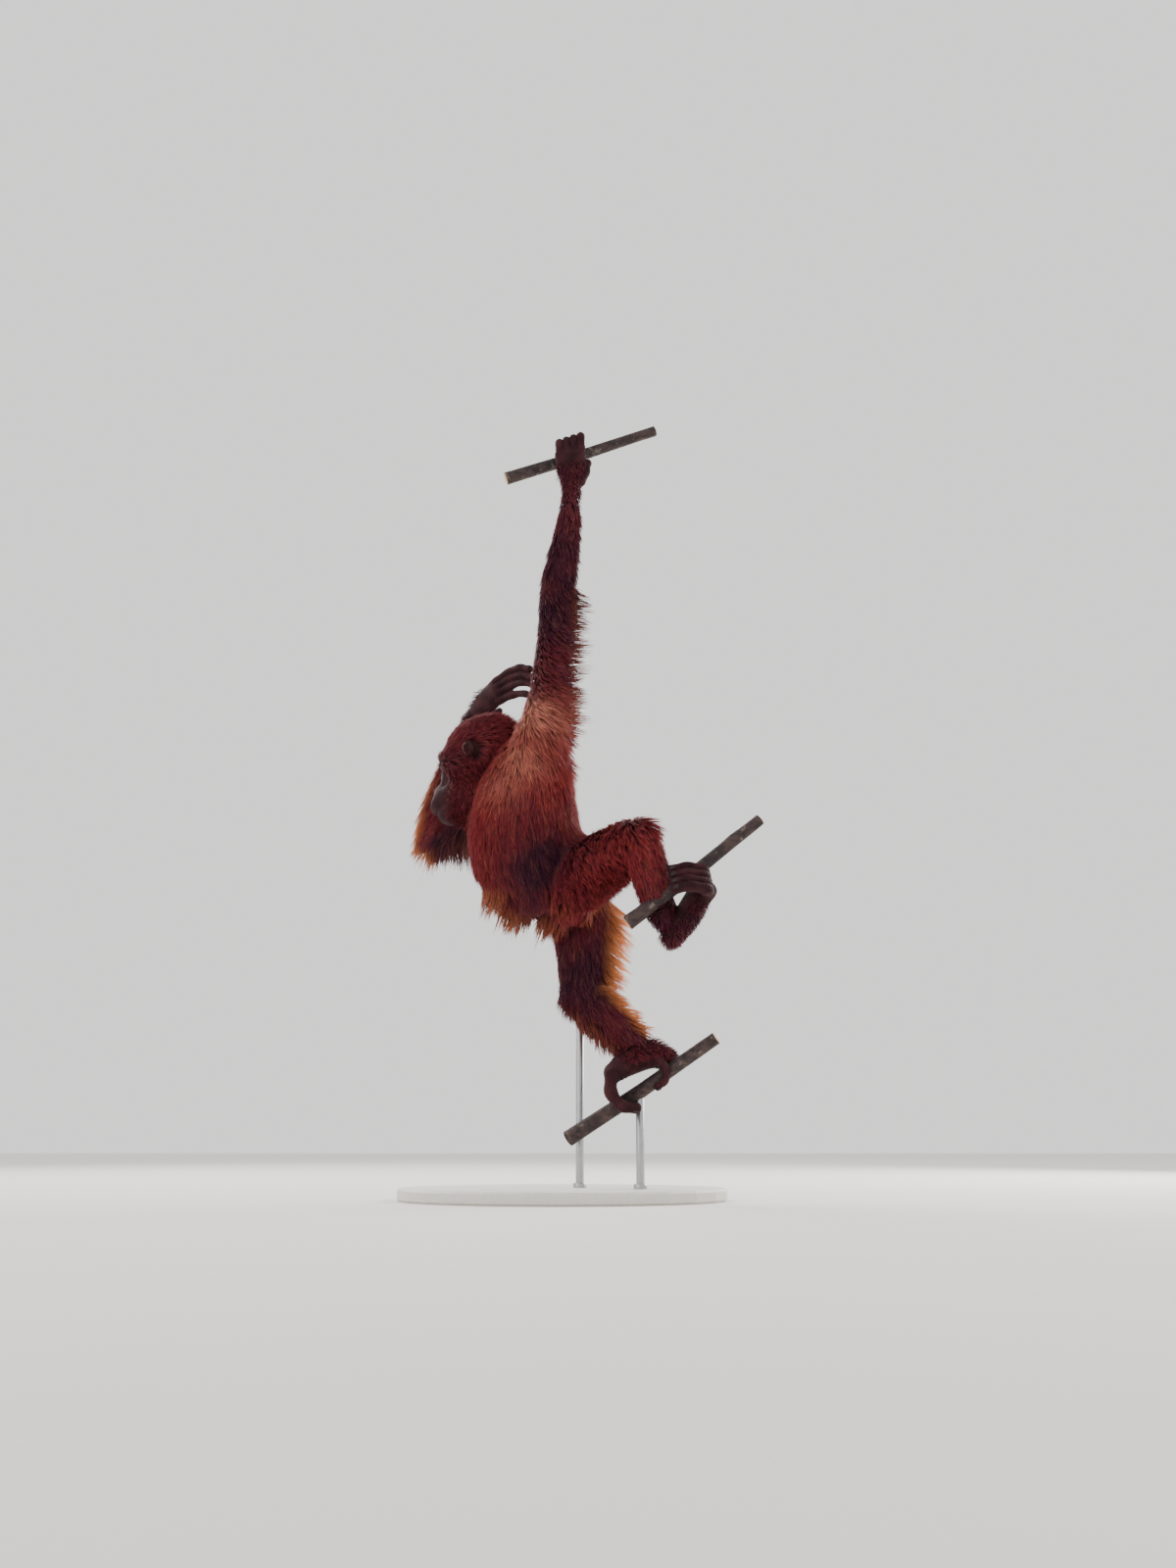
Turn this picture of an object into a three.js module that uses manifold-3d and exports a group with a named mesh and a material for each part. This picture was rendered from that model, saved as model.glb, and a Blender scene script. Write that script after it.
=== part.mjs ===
// A young orangutan hanging from a branch by its left arm, with each foot on a branch of its own,
// on a flat display base with two short rods. Millimetres, +Z up, the animal facing -X.
// The origin is the middle of the base's underside.
import * as THREE from "three";
import { mergeVertices } from "three/addons/utils/BufferGeometryUtils.js";
import Module from "manifold-3d";

const wasm = await Module();
wasm.setup();

const at = (x, y, z) => new THREE.Vector3(x, y, z);
const { lerp, clamp, degToRad } = THREE.MathUtils;
const up = at(0, 0, 1);
const down = at(0, 0, -1);
const away = at(0, 1, 0); // from the side the animal is seen from
const right = at(1, 0, 0); // the animal's back

// Driving sizes
const gap = 0.35; // clearance between touching nodes
const coatSink = 9; // how far a lock's root lies under the skin
const coatRise = 15; // how far its tip stands off the skin
const lockThickness = 8;
const lockTipReach = 14; // how much further than its sides a clearance round a lock's point goes
const headReach = 78; // no body lock grows this near the head's middle
const eyeRadius = 11.5;
const baseLength = 640;
const baseWidth = 500;
const baseHeight = 24;
const bevel = 4; // on the base's edges
const rodRadius = 8;

// Joint centres of the skeleton
const leftElbow = at(-20, -62, 1187);
const leftWrist = at(15, -42, 1440);
const rightElbow = at(-276, 186, 758);
const rightWrist = at(-197, 102, 985);
const leftKnee = at(143, -198, 682);
const rightKnee = at(36, 25, 404);
const headCentre = at(-172, 24, 866); // midway between the ears
const headScale = 1.05;

// The branches held by the hand and the feet: a point on each, its direction and its radius
const perches = {
  top: { middle: at(15, -20, 1526), along: at(0.92, 0.1, 0.36), radius: 12, back: 150, front: 190 },
  middle: { middle: at(241, -216, 600), along: at(0.787, 0, 0.617), radius: 12.5, back: 150, front: 170 },
  lower: { middle: at(144, -50, 202), along: at(0.8, -0.22, 0.53), radius: 14, back: 165, front: 185 },
};
for (const perch of Object.values(perches)) perch.along.normalize();

// A repeatable random draw
let seed = 7;
function draw(low, high) {
  seed = (seed * 1664525 + 1013904223) % 4294967296;
  return lerp(low, high, seed / 4294967296);
}

// A closed three.js geometry as a solid, and a solid as a geometry
function solidOf(geometry) {
  const bare = geometry.clone();
  bare.deleteAttribute("normal");
  bare.deleteAttribute("uv");
  const merged = mergeVertices(bare, 1e-4);
  const vertProperties = new Float32Array(merged.attributes.position.array);
  const triVerts = new Uint32Array(merged.index.array);
  return new wasm.Manifold(new wasm.Mesh({ numProp: 3, vertProperties, triVerts }));
}

function geometryOf(solid) {
  const mesh = solid.getMesh();
  const position = new THREE.BufferAttribute(new Float32Array(mesh.vertProperties), mesh.numProp);
  const geometry = new THREE.BufferGeometry().setAttribute("position", position);
  geometry.setIndex(new THREE.BufferAttribute(new Uint32Array(mesh.triVerts), 1));
  geometry.computeVertexNormals();
  return geometry;
}

// The largest closed surface of a solid, filled
function largest(solid) {
  const pieces = solid.decompose().filter((piece) => piece.volume() > 0);
  return pieces.reduce((best, piece) => (piece.volume() > best.volume() ? piece : best));
}

// The solid grown outward by the clearance along its vertex normals
function grown(solid) {
  const geometry = geometryOf(solid);
  const { position, normal } = geometry.attributes;
  for (let i = 0; i < position.count; i++) {
    const point = at().fromBufferAttribute(position, i);
    point.addScaledVector(at().fromBufferAttribute(normal, i), gap);
    position.setXYZ(i, point.x, point.y, point.z);
  }
  return solidOf(geometry);
}

// A body fused with its locks, and the room its neighbours leave for both
function withLocks(body, locks) {
  return {
    solid: wasm.Manifold.union([body, ...locks.map((bend) => lock(bend))]),
    clearance: wasm.Manifold.union([grown(body), ...locks.map((bend) => lock(bend, gap))]),
  };
}

// Rings of equal count joined into one closed body, each end closed to a pole
function closedRings(rings, firstPole, lastPole) {
  const sides = rings[0].length;
  const points = [...rings.flat(), firstPole, lastPole];
  const index = [];
  for (let i = 0; i < rings.length - 1; i++) {
    for (let j = 0; j < sides; j++) {
      const a = i * sides + j;
      const b = i * sides + ((j + 1) % sides);
      index.push(a, b, a + sides, b, b + sides, a + sides);
    }
  }
  const first = rings.length * sides;
  const lastRing = first - sides;
  for (let j = 0; j < sides; j++) {
    const next = (j + 1) % sides;
    index.push(first, next, j, first + 1, lastRing + j, lastRing + next);
  }
  const geometry = new THREE.BufferGeometry().setFromPoints(points);
  geometry.setIndex(index);
  return solidOf(geometry);
}

// A rounded limb or digit: oval rings along a curve through its stations, with domed ends.
// A station is [centre, half-width along the side hint, half-depth across it].
class Limb {
  constructor(stations, sideHint, sides = 10, rings = 5) {
    this.line = new THREE.CatmullRomCurve3(stations.map((s) => s[0]));
    this.radii = new THREE.CatmullRomCurve3(stations.map((s) => at(s[1], s[2], 0)));
    this.sideHint = sideHint.clone().normalize();
    this.sides = sides;
    this.rings = rings;
    this.length = this.line.getLength();
  }
  frame(u) {
    const tangent = this.line.getTangent(u);
    const side = this.sideHint.clone().addScaledVector(tangent, -this.sideHint.dot(tangent)).normalize();
    return { tangent, side, across: tangent.clone().cross(side) };
  }
  // A point on the skin, or past an end along the limb; turn is the angle from the side hint
  skin(u, turn) {
    const inside = clamp(u, 0, 1);
    const { tangent, side, across } = this.frame(inside);
    const { x: wide, y: deep } = this.radii.getPoint(inside);
    const radial = side
      .clone()
      .multiplyScalar(wide * Math.cos(turn))
      .addScaledVector(across, deep * Math.sin(turn));
    const normal = side
      .multiplyScalar(Math.cos(turn) / wide)
      .addScaledVector(across, Math.sin(turn) / deep)
      .normalize();
    const centre = this.line.getPoint(inside).addScaledVector(tangent, (u - inside) * this.length);
    return { centre, radial, normal, tangent, point: centre.clone().add(radial), girth: Math.min(wide, deep) };
  }
  reaches(point) {
    return Array.from({ length: 17 }, (_, i) => this.skin(i / 16, 0)).some(
      ({ centre, girth }) => centre.distanceTo(point) < girth,
    );
  }
  ring(u, scale = 1, dome = 0) {
    return Array.from({ length: this.sides }, (_, j) => {
      const { centre, radial, tangent, girth } = this.skin(u, (2 * Math.PI * j) / this.sides);
      return centre.addScaledVector(radial, scale).addScaledVector(tangent, dome * girth);
    });
  }
  solid() {
    const rings = Array.from({ length: this.rings + 1 }, (_, i) => this.ring(i / this.rings));
    rings.unshift(this.ring(0, 0.7, -0.6));
    rings.push(this.ring(1, 0.7, 0.6));
    const pole = (u, dome) => {
      const { centre, tangent, girth } = this.skin(u, 0);
      return centre.addScaledVector(tangent, dome * girth);
    };
    return closedRings(rings, pole(0, -0.85), pole(1, 0.85));
  }
}

// A flat tapered lock of hair: three-sided rings along a bent line from root to tip
const lockRings = [
  { along: 0, wide: 0.6, thick: 0.9 },
  { along: 0.36, wide: 1, thick: 1 },
  { along: 0.72, wide: 0.66, thick: 0.6 },
];
function lock({ root, middle, tip, normal, width }, swell = 0) {
  const control = middle.clone().multiplyScalar(2).addScaledVector(root, -0.5).addScaledVector(tip, -0.5);
  const line = new THREE.QuadraticBezierCurve3(root, control, tip);
  const rings = lockRings.map(({ along, wide, thick }) => {
    const centre = line.getPoint(along);
    const heading = line.getTangent(along);
    const side = heading.clone().cross(normal).normalize();
    const rise = side.clone().cross(heading).normalize();
    const half = (width * wide) / 2;
    const height = lockThickness * thick;
    const slope = Math.hypot(half, height);
    const edge = half + (swell * (slope + half)) / height;
    const corner = (x, y) => centre.clone().addScaledVector(side, x).addScaledVector(rise, y);
    return [
      corner(-edge, -height / 2 - swell),
      corner(0, height / 2 + (swell * slope) / half),
      corner(edge, -height / 2 - swell),
    ];
  });
  const point = tip.clone().addScaledVector(line.getTangent(1), swell * lockTipReach);
  return closedRings(rings, line.getPoint(0.001).addScaledVector(line.getTangent(0), -swell), point);
}

// Locks in rows round a limb. lie is +1 towards its end or -1 towards its start; length and width
// are one lock's sizes, and hang is how much it droops.
function limbLocks(limb, { rows, round, from, to, lie, length, width, hang = 0, bare = () => false }) {
  const locks = [];
  for (let row = 0; row < rows; row++) {
    for (let k = 0; k < round; k++) {
      const u = lerp(from, to, (row + 0.5 + draw(-0.12, 0.12)) / rows);
      const turn = (2 * Math.PI * (k + (row % 2) / 2 + draw(-0.1, 0.1))) / round;
      const reach = length * draw(0.88, 1.12);
      const start = limb.skin(u, turn);
      const middle = limb.skin(u + (lie * reach * 0.5) / limb.length, turn);
      const end = limb.skin(u + (lie * reach) / limb.length, turn + draw(-0.09, 0.09));
      if (bare(middle.point) || coveredByOthers(limb, start, middle, end)) continue;
      const root = start.point.addScaledVector(start.normal, -coatSink);
      const waist = middle.point.addScaledVector(middle.normal, coatRise * draw(0.35, 0.5));
      const tip = end.point.addScaledVector(end.normal, coatRise * draw(0.9, 1.25));
      waist.addScaledVector(down, reach * hang * 0.1);
      tip.addScaledVector(down, reach * hang * 0.32);
      locks.push({ root, middle: waist, tip, normal: middle.normal, width: width * draw(0.85, 1) });
    }
  }
  return locks;
}

// A fringe: broad locks in a row along one side of a limb, standing off it towards one way
function fringeLocks(limb, { toward, from, to, count, out, sweep, width }) {
  return Array.from({ length: count }, (_, i) => {
    const u = lerp(from, to, i / (count - 1));
    const { side, across, tangent } = limb.frame(u);
    const { point, normal } = limb.skin(u, Math.atan2(toward.dot(across), toward.dot(side)));
    const flat = tangent.clone().cross(toward).normalize();
    const root = point.clone().addScaledVector(normal, -coatSink);
    const reach = out * draw(0.8, 1.15);
    const tip = point.clone().addScaledVector(toward, reach).addScaledVector(tangent, sweep * draw(0.7, 1.2));
    const waist = root.clone().lerp(tip, 0.5).addScaledVector(tangent, sweep * 0.12);
    return { root, middle: waist, tip, normal: flat, width: width * draw(0.9, 1.1) };
  });
}

// Where another part of the body lies over a limb, no lock grows
const inFlesh = (point, own) => Object.values(flesh).some(({ limb }) => limb !== own && limb.reaches(point));
const coveredByOthers = (own, ...places) =>
  places.some(({ point }) => headCentre.distanceTo(point) < headReach || inFlesh(point, own));

// Body: each limb's flesh and the coat on it
const chestSide = at(0.47, -0.88, 0); // across the chest, towards the left shoulder
const flesh = {
  forearm_left: {
    limb: new Limb(
      [
        [leftElbow, 25, 26],
        [at(-14, -58, 1235), 26, 27],
        [at(-4, -52, 1300), 23, 24],
        [at(7, -46, 1372), 18, 18],
        [leftWrist, 16, 16],
      ],
      away,
    ),
    coat: { rows: 3, round: 4, from: 0.25, to: 0.98, lie: -1, length: 92, width: 36 },
    fringe: { toward: right, from: 0.02, to: 0.2, count: 2, out: 34, sweep: -34, width: 32 },
  },
  forearm_right: {
    limb: new Limb(
      [
        [rightElbow, 25, 26],
        [at(-267, 172, 806), 27, 28],
        [at(-244, 148, 872), 25, 26],
        [at(-218, 122, 936), 20, 21],
        [rightWrist, 16, 17],
      ],
      away,
    ),
    coat: { rows: 3, round: 4, from: 0.14, to: 0.97, lie: -1, length: 92, width: 38 },
    fringe: { toward: at(-0.8, 0.1, -0.59), from: 0.02, to: 0.5, count: 3, out: 24, sweep: -66, width: 46 },
  },
  shank_left: {
    limb: new Limb(
      [
        [leftKnee, 35, 34],
        [at(158, -199, 640), 32, 33],
        [at(176, -199, 576), 28, 30],
        [at(188, -198, 526), 20, 23],
      ],
      away,
    ),
    coat: { rows: 2, round: 5, from: 0, to: 0.62, lie: 1, length: 84, width: 42, hang: 0.1 },
  },
  shank_right: {
    limb: new Limb(
      [
        [rightKnee, 35, 36],
        [at(62, 6, 378), 34, 35],
        [at(104, -22, 336), 27, 30],
        [at(136, -44, 304), 20, 23],
      ],
      away,
    ),
    coat: { rows: 2, round: 5, from: 0, to: 0.72, lie: 1, length: 88, width: 42 },
    fringe: { toward: at(-0.6, 0, -0.8), from: 0.1, to: 0.85, count: 4, out: 28, sweep: 48, width: 36 },
  },
  upper_arm_left: {
    limb: new Limb(
      [
        [at(-60, -62, 872), 42, 48],
        [at(-44, -86, 925), 38, 41],
        [at(-38, -82, 985), 27, 29],
        [at(-32, -76, 1060), 22, 23],
        [at(-25, -68, 1130), 22, 23],
        [leftElbow, 24, 25],
      ],
      away,
      10,
      6,
    ),
    coat: {
      rows: 3,
      round: 4,
      from: 0.08,
      to: 0.86,
      lie: -1,
      length: 100,
      width: 38,
      bare: (point) => point.x < -62,
    },
    fringe: { toward: at(0.98, 0.2, 0), from: 0.3, to: 0.95, count: 6, out: 42, sweep: 4, width: 34 },
  },
  upper_arm_right: {
    limb: new Limb(
      [
        [at(-40, 78, 852), 42, 42],
        [at(-78, 112, 862), 36, 36],
        [at(-140, 136, 826), 29, 31],
        [at(-210, 160, 788), 26, 28],
        [rightElbow, 25, 26],
      ],
      up,
    ),
    coat: { rows: 3, round: 4, from: 0.2, to: 0.95, lie: 1, length: 100, width: 44, hang: 0.2 },
    fringe: { toward: down, from: 0.25, to: 1, count: 6, out: 84, sweep: -16, width: 52 },
  },
  thigh_left: {
    limb: new Limb(
      [
        [at(20, -46, 622), 54, 54],
        [at(56, -92, 640), 50, 54],
        [at(98, -144, 661), 42, 46],
        [at(140, -194, 681), 33, 36],
      ],
      up,
      12,
      5,
    ),
    coat: { rows: 3, round: 6, from: 0.18, to: 0.84, lie: 1, length: 84, width: 48, hang: 0.15 },
  },
  thigh_right: {
    limb: new Limb(
      [
        [at(20, 66, 612), 50, 58],
        [at(32, 56, 556), 46, 55],
        [at(38, 42, 484), 38, 46],
        [at(38, 27, 410), 33, 38],
      ],
      away,
      12,
      5,
    ),
    coat: { rows: 3, round: 6, from: 0.14, to: 0.86, lie: 1, length: 88, width: 50 },
    fringe: { toward: at(0.9, 0.43, 0), from: 0.25, to: 0.9, count: 5, out: 38, sweep: 60, width: 40 },
  },
  pelvis: {
    limb: new Limb(
      [
        [at(-30, -8, 694), 76, 54],
        [at(-6, -4, 655), 92, 74],
        [at(4, 0, 618), 88, 70],
        [at(4, 2, 586), 58, 48],
      ],
      chestSide,
      12,
      4,
    ),
    coat: { rows: 2, round: 8, from: 0.25, to: 0.9, lie: 1, length: 84, width: 58 },
  },
  torso: {
    limb: new Limb(
      [
        [at(-70, -2, 916), 54, 34],
        [at(-76, -6, 878), 86, 62],
        [at(-78, -10, 838), 96, 80],
        [at(-80, -13, 790), 100, 96],
        [at(-80, -14, 738), 102, 107],
        [at(-72, -12, 686), 98, 111],
        [at(-64, -10, 646), 90, 101],
        [at(-58, -8, 618), 66, 74],
      ],
      chestSide,
      16,
      7,
    ),
    coat: { rows: 4, round: 10, from: 0.04, to: 0.96, lie: 1, length: 128, width: 62, hang: 0.05 },
  },
  neck: {
    limb: new Limb(
      [
        [at(-84, 8, 872), 56, 46],
        [at(-112, 14, 882), 52, 52],
        [at(-146, 20, 884), 50, 54],
      ],
      away,
      12,
      3,
    ),
  },
};

// Head: its own axes, forward, left and crown
const headTurn = 20; // degrees the face turns from -X towards +Y
const headBow = 21; // degrees the face looks down
const headLean = 15; // degrees the crown leans to the animal's right
const headAxes = (() => {
  const heading = at(-1, 0, 0).applyAxisAngle(up, -degToRad(headTurn));
  const forward = heading.clone().multiplyScalar(Math.cos(degToRad(headBow)));
  forward.addScaledVector(up, -Math.sin(degToRad(headBow)));
  const side = up.clone().cross(heading);
  const level = forward.clone().cross(side);
  const crown = level.clone().applyAxisAngle(forward, degToRad(headLean));
  return { forward, left: crown.clone().cross(forward), crown };
})();
const headBasis = new THREE.Matrix4().makeBasis(headAxes.forward, headAxes.left, headAxes.crown);
const inHead = (forward, left, crown) =>
  at(forward, left, crown).multiplyScalar(headScale).applyMatrix4(headBasis).add(headCentre);

// The face and skull as ovals that melt into each other, in the head's own axes. soft is how far
// an oval melts into those before it; one with y swells both sides alike.
const headOvals = [
  { centre: [-12, 0, 30], radii: [76, 64, 62], soft: 1 },
  { centre: [34, 0, -6], radii: [44, 50, 58], soft: 26 },
  { centre: [40, 36, 6], radii: [22, 20, 26], soft: 16 },
  { centre: [66, 0, -44], radii: [46, 42, 36], soft: 24 },
  { centre: [92, 0, -52], radii: [26, 33, 15], soft: 12 },
  { centre: [82, 0, -77], radii: [25, 28, 14], soft: 8 },
  { centre: [40, 0, -66], radii: [50, 42, 34], soft: 20 },
  { centre: [60, 18, 36], radii: [12, 20, 9], soft: 14 },
  { centre: [72, 0, 6], radii: [14, 9, 20], soft: 14 },
  { centre: [92, 8, -18], radii: [11, 9, 8], soft: 12 },
];
const headHollows = [
  { centre: [74, 27, 20], radii: [15, 16, 13], soft: 8 },
  { centre: [66, 40, -16], radii: [12, 12, 16], soft: 14 },
];

function ovalDistance(point, { centre, radii }) {
  const [x, y, z] = [point.x - centre[0], Math.abs(point.y) - centre[1], point.z - centre[2]];
  const near = Math.hypot(x / radii[0], y / radii[1], z / radii[2]);
  const slope = Math.hypot(x / radii[0] ** 2, y / radii[1] ** 2, z / radii[2] ** 2);
  return slope > 0 ? (near * (near - 1)) / slope : -Math.min(...radii);
}

function melt(a, b, soft) {
  const mix = Math.max(soft - Math.abs(a - b), 0) / soft;
  return Math.min(a, b) - (mix * mix * soft) / 4;
}

function headDistance(point) {
  const swollen = headOvals.reduce((d, oval) => melt(d, ovalDistance(point, oval), oval.soft), Infinity);
  return headHollows.reduce((d, hollow) => -melt(-d, ovalDistance(point, hollow), hollow.soft), swollen);
}

// A point on the head's skin, found outward from a point inside it, and the way out there. The
// angle is from the muzzle, and the turn goes round from the left cheek over the crown.
const headMiddle = at(16, 0, -6);
const muzzleAxis = at(0.93, 0, -0.37);
const crownAxis = at(0.37, 0, 0.93);
function onHead(angle, turn, rise = 0) {
  const out = muzzleAxis
    .clone()
    .multiplyScalar(Math.cos(angle))
    .addScaledVector(away, Math.sin(angle) * Math.cos(turn))
    .addScaledVector(crownAxis, Math.sin(angle) * Math.sin(turn));
  let [near, far] = [0, 160];
  for (let step = 0; step < 16; step++) {
    const middle = (near + far) / 2;
    if (headDistance(headMiddle.clone().addScaledVector(out, middle)) > 0) far = middle;
    else near = middle;
  }
  const point = headMiddle.clone().addScaledVector(out, near + rise);
  return { point: inHead(point.x, point.y, point.z), out: out.transformDirection(headBasis) };
}

function headSkin(rings, sides) {
  const angleAt = (t) => Math.PI * (0.62 * t + 0.38 * t ** 3); // denser round the face
  const turnAt = (j) => (2 * Math.PI * j) / sides;
  const grid = Array.from({ length: rings }, (_, i) =>
    Array.from({ length: sides }, (__, j) => onHead(angleAt((i + 1) / (rings + 1)), turnAt(j)).point),
  );
  return closedRings(grid.reverse(), onHead(Math.PI, 0).point, onHead(0, 0).point);
}

// Locks swept back over the skull from the hairline, clear of the ears
const headCoat = { rows: [76, 103, 130], round: 7, sweep: 46, rise: 13, width: 64 };
function headLocks() {
  const { rows, round, sweep, rise, width } = headCoat;
  const locks = [];
  rows.forEach((row, i) => {
    for (let k = 0; k < round; k++) {
      const turn = (2 * Math.PI * (k + (i % 2) / 2 + draw(-0.06, 0.06))) / round;
      const angle = degToRad(row + draw(-3, 3));
      const reach = degToRad(sweep * draw(0.85, 1.2));
      const nearEar = Math.abs(Math.sin(turn)) < 0.3 && row < 120;
      if (nearEar) continue;
      const middle = onHead(angle + reach / 2, turn, rise * draw(0.35, 0.5));
      const tip = onHead(angle + reach, turn + draw(-0.06, 0.06), rise * draw(0.9, 1.25));
      const root = onHead(angle, turn, -coatSink);
      if ([root, middle, tip].some(({ point }) => inFlesh(point))) continue;
      const narrowing = Math.sin(angle + reach / 2) * draw(0.85, 1);
      locks.push({
        root: root.point,
        middle: middle.point,
        tip: tip.point,
        normal: middle.out,
        width: width * narrowing,
      });
    }
  });
  return locks;
}

// An oval, or a thin roll of flesh through points, in the head's own sizes
function headOval(centre, radii, widthSegments, heightSegments) {
  const geometry = new THREE.SphereGeometry(1, widthSegments, heightSegments);
  geometry.scale(...radii);
  geometry.translate(...centre);
  geometry.scale(headScale, headScale, headScale);
  geometry.applyMatrix4(headBasis);
  geometry.translate(headCentre.x, headCentre.y, headCentre.z);
  return solidOf(geometry);
}

function headRoll(points, radius, rings = 4) {
  const stations = points.map((p, i) => {
    const thick = radius * (i > 0 && i < points.length - 1 ? 1 : 0.6);
    return [inHead(...p), thick, thick];
  });
  return new Limb(stations, headAxes.crown, 5, rings).solid();
}

const eyePlace = [62, 27, 20];
const earPlace = [-10, 65, 4];

function buildEye(side) {
  const [forward, left, crown] = eyePlace;
  return headOval([forward, side * left, crown], [eyeRadius, eyeRadius, eyeRadius], 9, 6);
}

function buildEar(side) {
  const [forward, left, crown] = earPlace;
  const rim = headOval([forward, side * left, crown], [12, 9, 17], 10, 6);
  const cup = headOval([forward + 3, side * (left + 9), crown - 1], [7.5, 8, 11.5], 8, 5);
  return rim.subtract(cup);
}

// A lid as an arc over the eyeball; open is how far its middle stands off the eye's centre line
function buildLid(side, open) {
  const [forward, left, crown] = eyePlace;
  const points = [-1.3, -0.65, 0, 0.65, 1.3].map((s) => [
    forward + (eyeRadius - 1) * Math.cos(s * 0.85) - 1,
    side * left + s * 10,
    crown + open * Math.cos(s),
  ]);
  return headRoll(points, 3.6);
}

function buildHead(eyes) {
  const skin = headSkin(17, 22);
  const mouth = headRoll([[56, 46, -67], [92, 34, -66], [118, 0, -65], [92, -34, -66], [56, -46, -67]], 2.6);
  const coated = withLocks(skin, headLocks());
  let head = coated.solid.subtract(mouth);
  for (const side of [1, -1]) {
    head = head.subtract(headOval([102, side * 7, -22], [8, 3.8, 3], 6, 4));
    head = head.add(buildLid(side, 7)).add(buildLid(side, -7));
  }
  for (const eye of eyes) head = head.subtract(grown(eye));
  return { head, clearance: coated.clearance };
}

// Hands and feet: the palm or sole is a flat limb, each digit a thin bent one. Toes are deeper
// than they are wide along toeSide, the way they lie beside each other.
function digit(points, radii, hint, depth = 1) {
  const stations = points.map((p, i) => {
    const radius = lerp(radii[0], radii[1], i / (points.length - 1));
    return [p, radius, radius * depth];
  });
  return new Limb(stations, hint, 6, 3).solid();
}

const stepped = (points, along, step) => points.map((p) => p.clone().addScaledVector(along, step));
const fingerNames = ["thumb", "index", "middle", "ring", "little"];
const toeNames = ["big_toe", "toe_2", "toe_3", "toe_4", "toe_5"];

const topAlong = perches.top.along;
const leftFingerLine = [at(13, -49, 1524), at(12, -44, 1556), at(12, -16, 1568), at(12, 9, 1548), at(13, 8, 1514)];
const rightFingerLine = [at(-139, 38, 1032), at(-112, 10, 1044), at(-86, -20, 1046), at(-64, -42, 1036)];
const rightFingerSpread = at(0.2, -0.15, -1).normalize();
const leftToeLine = [at(272, -204, 584), at(266, -240, 589), at(236, -256, 592), at(208, -250, 588)];
const leftToeSpread = at(0.1, -0.55, -0.83).normalize();
const rightToeLine = [at(96, -58, 238), at(94, -74, 204), at(116, -82, 178), at(144, -74, 174)];

const extremities = {
  hand_left: {
    palm: [
      [at(15, -43, 1440), 19, 15],
      [at(15, -48, 1482), 29, 14],
      [at(13, -50, 1522), 33, 12],
    ],
    across: topAlong,
    digits: [
      [at(36, -46, 1462), at(46, -44, 1484), at(50, -40, 1508)],
      ...[24, 8, -8, -24].map((step) => stepped(leftFingerLine, topAlong, step)),
    ],
    names: fingerNames,
    radii: [9.5, 7],
  },
  hand_right: {
    palm: [
      [at(-197, 100, 984), 19, 15],
      [at(-172, 74, 1008), 28, 14],
      [at(-142, 42, 1030), 31, 12],
    ],
    across: at(0.15, -0.1, -1),
    digits: [
      [at(-180, 68, 976), at(-160, 48, 976), at(-134, 30, 986)],
      ...[23, 8, -7, -21].map((step, i) =>
        rightFingerLine.map((p, k) =>
          p.clone().addScaledVector(rightFingerSpread, step + (i === 0 ? 8.5 * k : 1.5 * (3 - i) * k)),
        ),
      ),
    ],
    names: fingerNames,
    radii: [9, 6.5],
  },
  foot_left: {
    palm: [
      [at(206, -192, 486), 21, 19],
      [at(222, -194, 508), 26, 19],
      [at(248, -198, 548), 31, 19],
      [at(270, -202, 580), 34, 17],
    ],
    across: at(0.53, -0.77, -0.35),
    digits: [
      [at(222, -176, 524), at(206, -184, 552), at(204, -204, 572), at(214, -220, 578)],
      ...[-25, -9, 8, 24].map((step) => stepped(leftToeLine, leftToeSpread, step)),
    ],
    names: toeNames,
    radii: [10.5, 8],
    toeSide: leftToeSpread,
    depth: 1.3,
  },
  foot_right: {
    palm: [
      [at(212, -48, 262), 21, 20],
      [at(178, -50, 275), 27, 25],
      [at(134, -54, 265), 31, 27],
      [at(100, -56, 242), 34, 20],
    ],
    across: away,
    digits: [
      [at(186, -72, 266), at(200, -84, 244), at(196, -84, 224), at(182, -74, 214)],
      ...[-27, -10, 8, 25].map((step) => stepped(rightToeLine, away, step)),
    ],
    names: toeNames,
    radii: [10, 7],
    toeSide: away,
    depth: 1.4,
  },
};

// Branch lengths, cut square at both ends, with a slight bend and taper
function buildPerch({ middle, along, radius, back, front }) {
  const bend = at(0.02, 0.05, 0.06);
  const stations = [-1, -0.5, 0, 0.5, 1].map((s) => {
    const reach = (s < 0 ? back : front) * s;
    const centre = middle.clone().addScaledVector(along, reach).addScaledVector(bend, Math.abs(reach) * 0.4);
    const thick = radius * (1 - 0.12 * s);
    return [centre, thick, thick];
  });
  return new Limb(stations, up, 9, 4)
    .solid()
    .trimByPlane(along.toArray(), along.dot(middle) - back + 1)
    .trimByPlane(along.clone().negate().toArray(), -along.dot(middle) - front + 1);
}

// Stand: a flat oval base, one rod to the lower branch and one to the knee
function buildBase() {
  const outline = new THREE.Shape();
  outline.absellipse(0, 0, baseLength / 2, baseWidth / 2, 0, 2 * Math.PI);
  const geometry = new THREE.ExtrudeGeometry(outline, {
    depth: baseHeight - 2 * bevel,
    bevelEnabled: true,
    bevelThickness: bevel,
    bevelSize: bevel,
    bevelOffset: -bevel,
    bevelSegments: 1,
    curveSegments: 14,
  });
  geometry.translate(0, 0, bevel);
  return solidOf(geometry);
}

function buildRod(x, y, top) {
  const geometry = new THREE.CylinderGeometry(rodRadius, rodRadius, top, 10);
  geometry.rotateX(Math.PI / 2);
  geometry.translate(x, y, top / 2);
  return solidOf(geometry);
}

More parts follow.
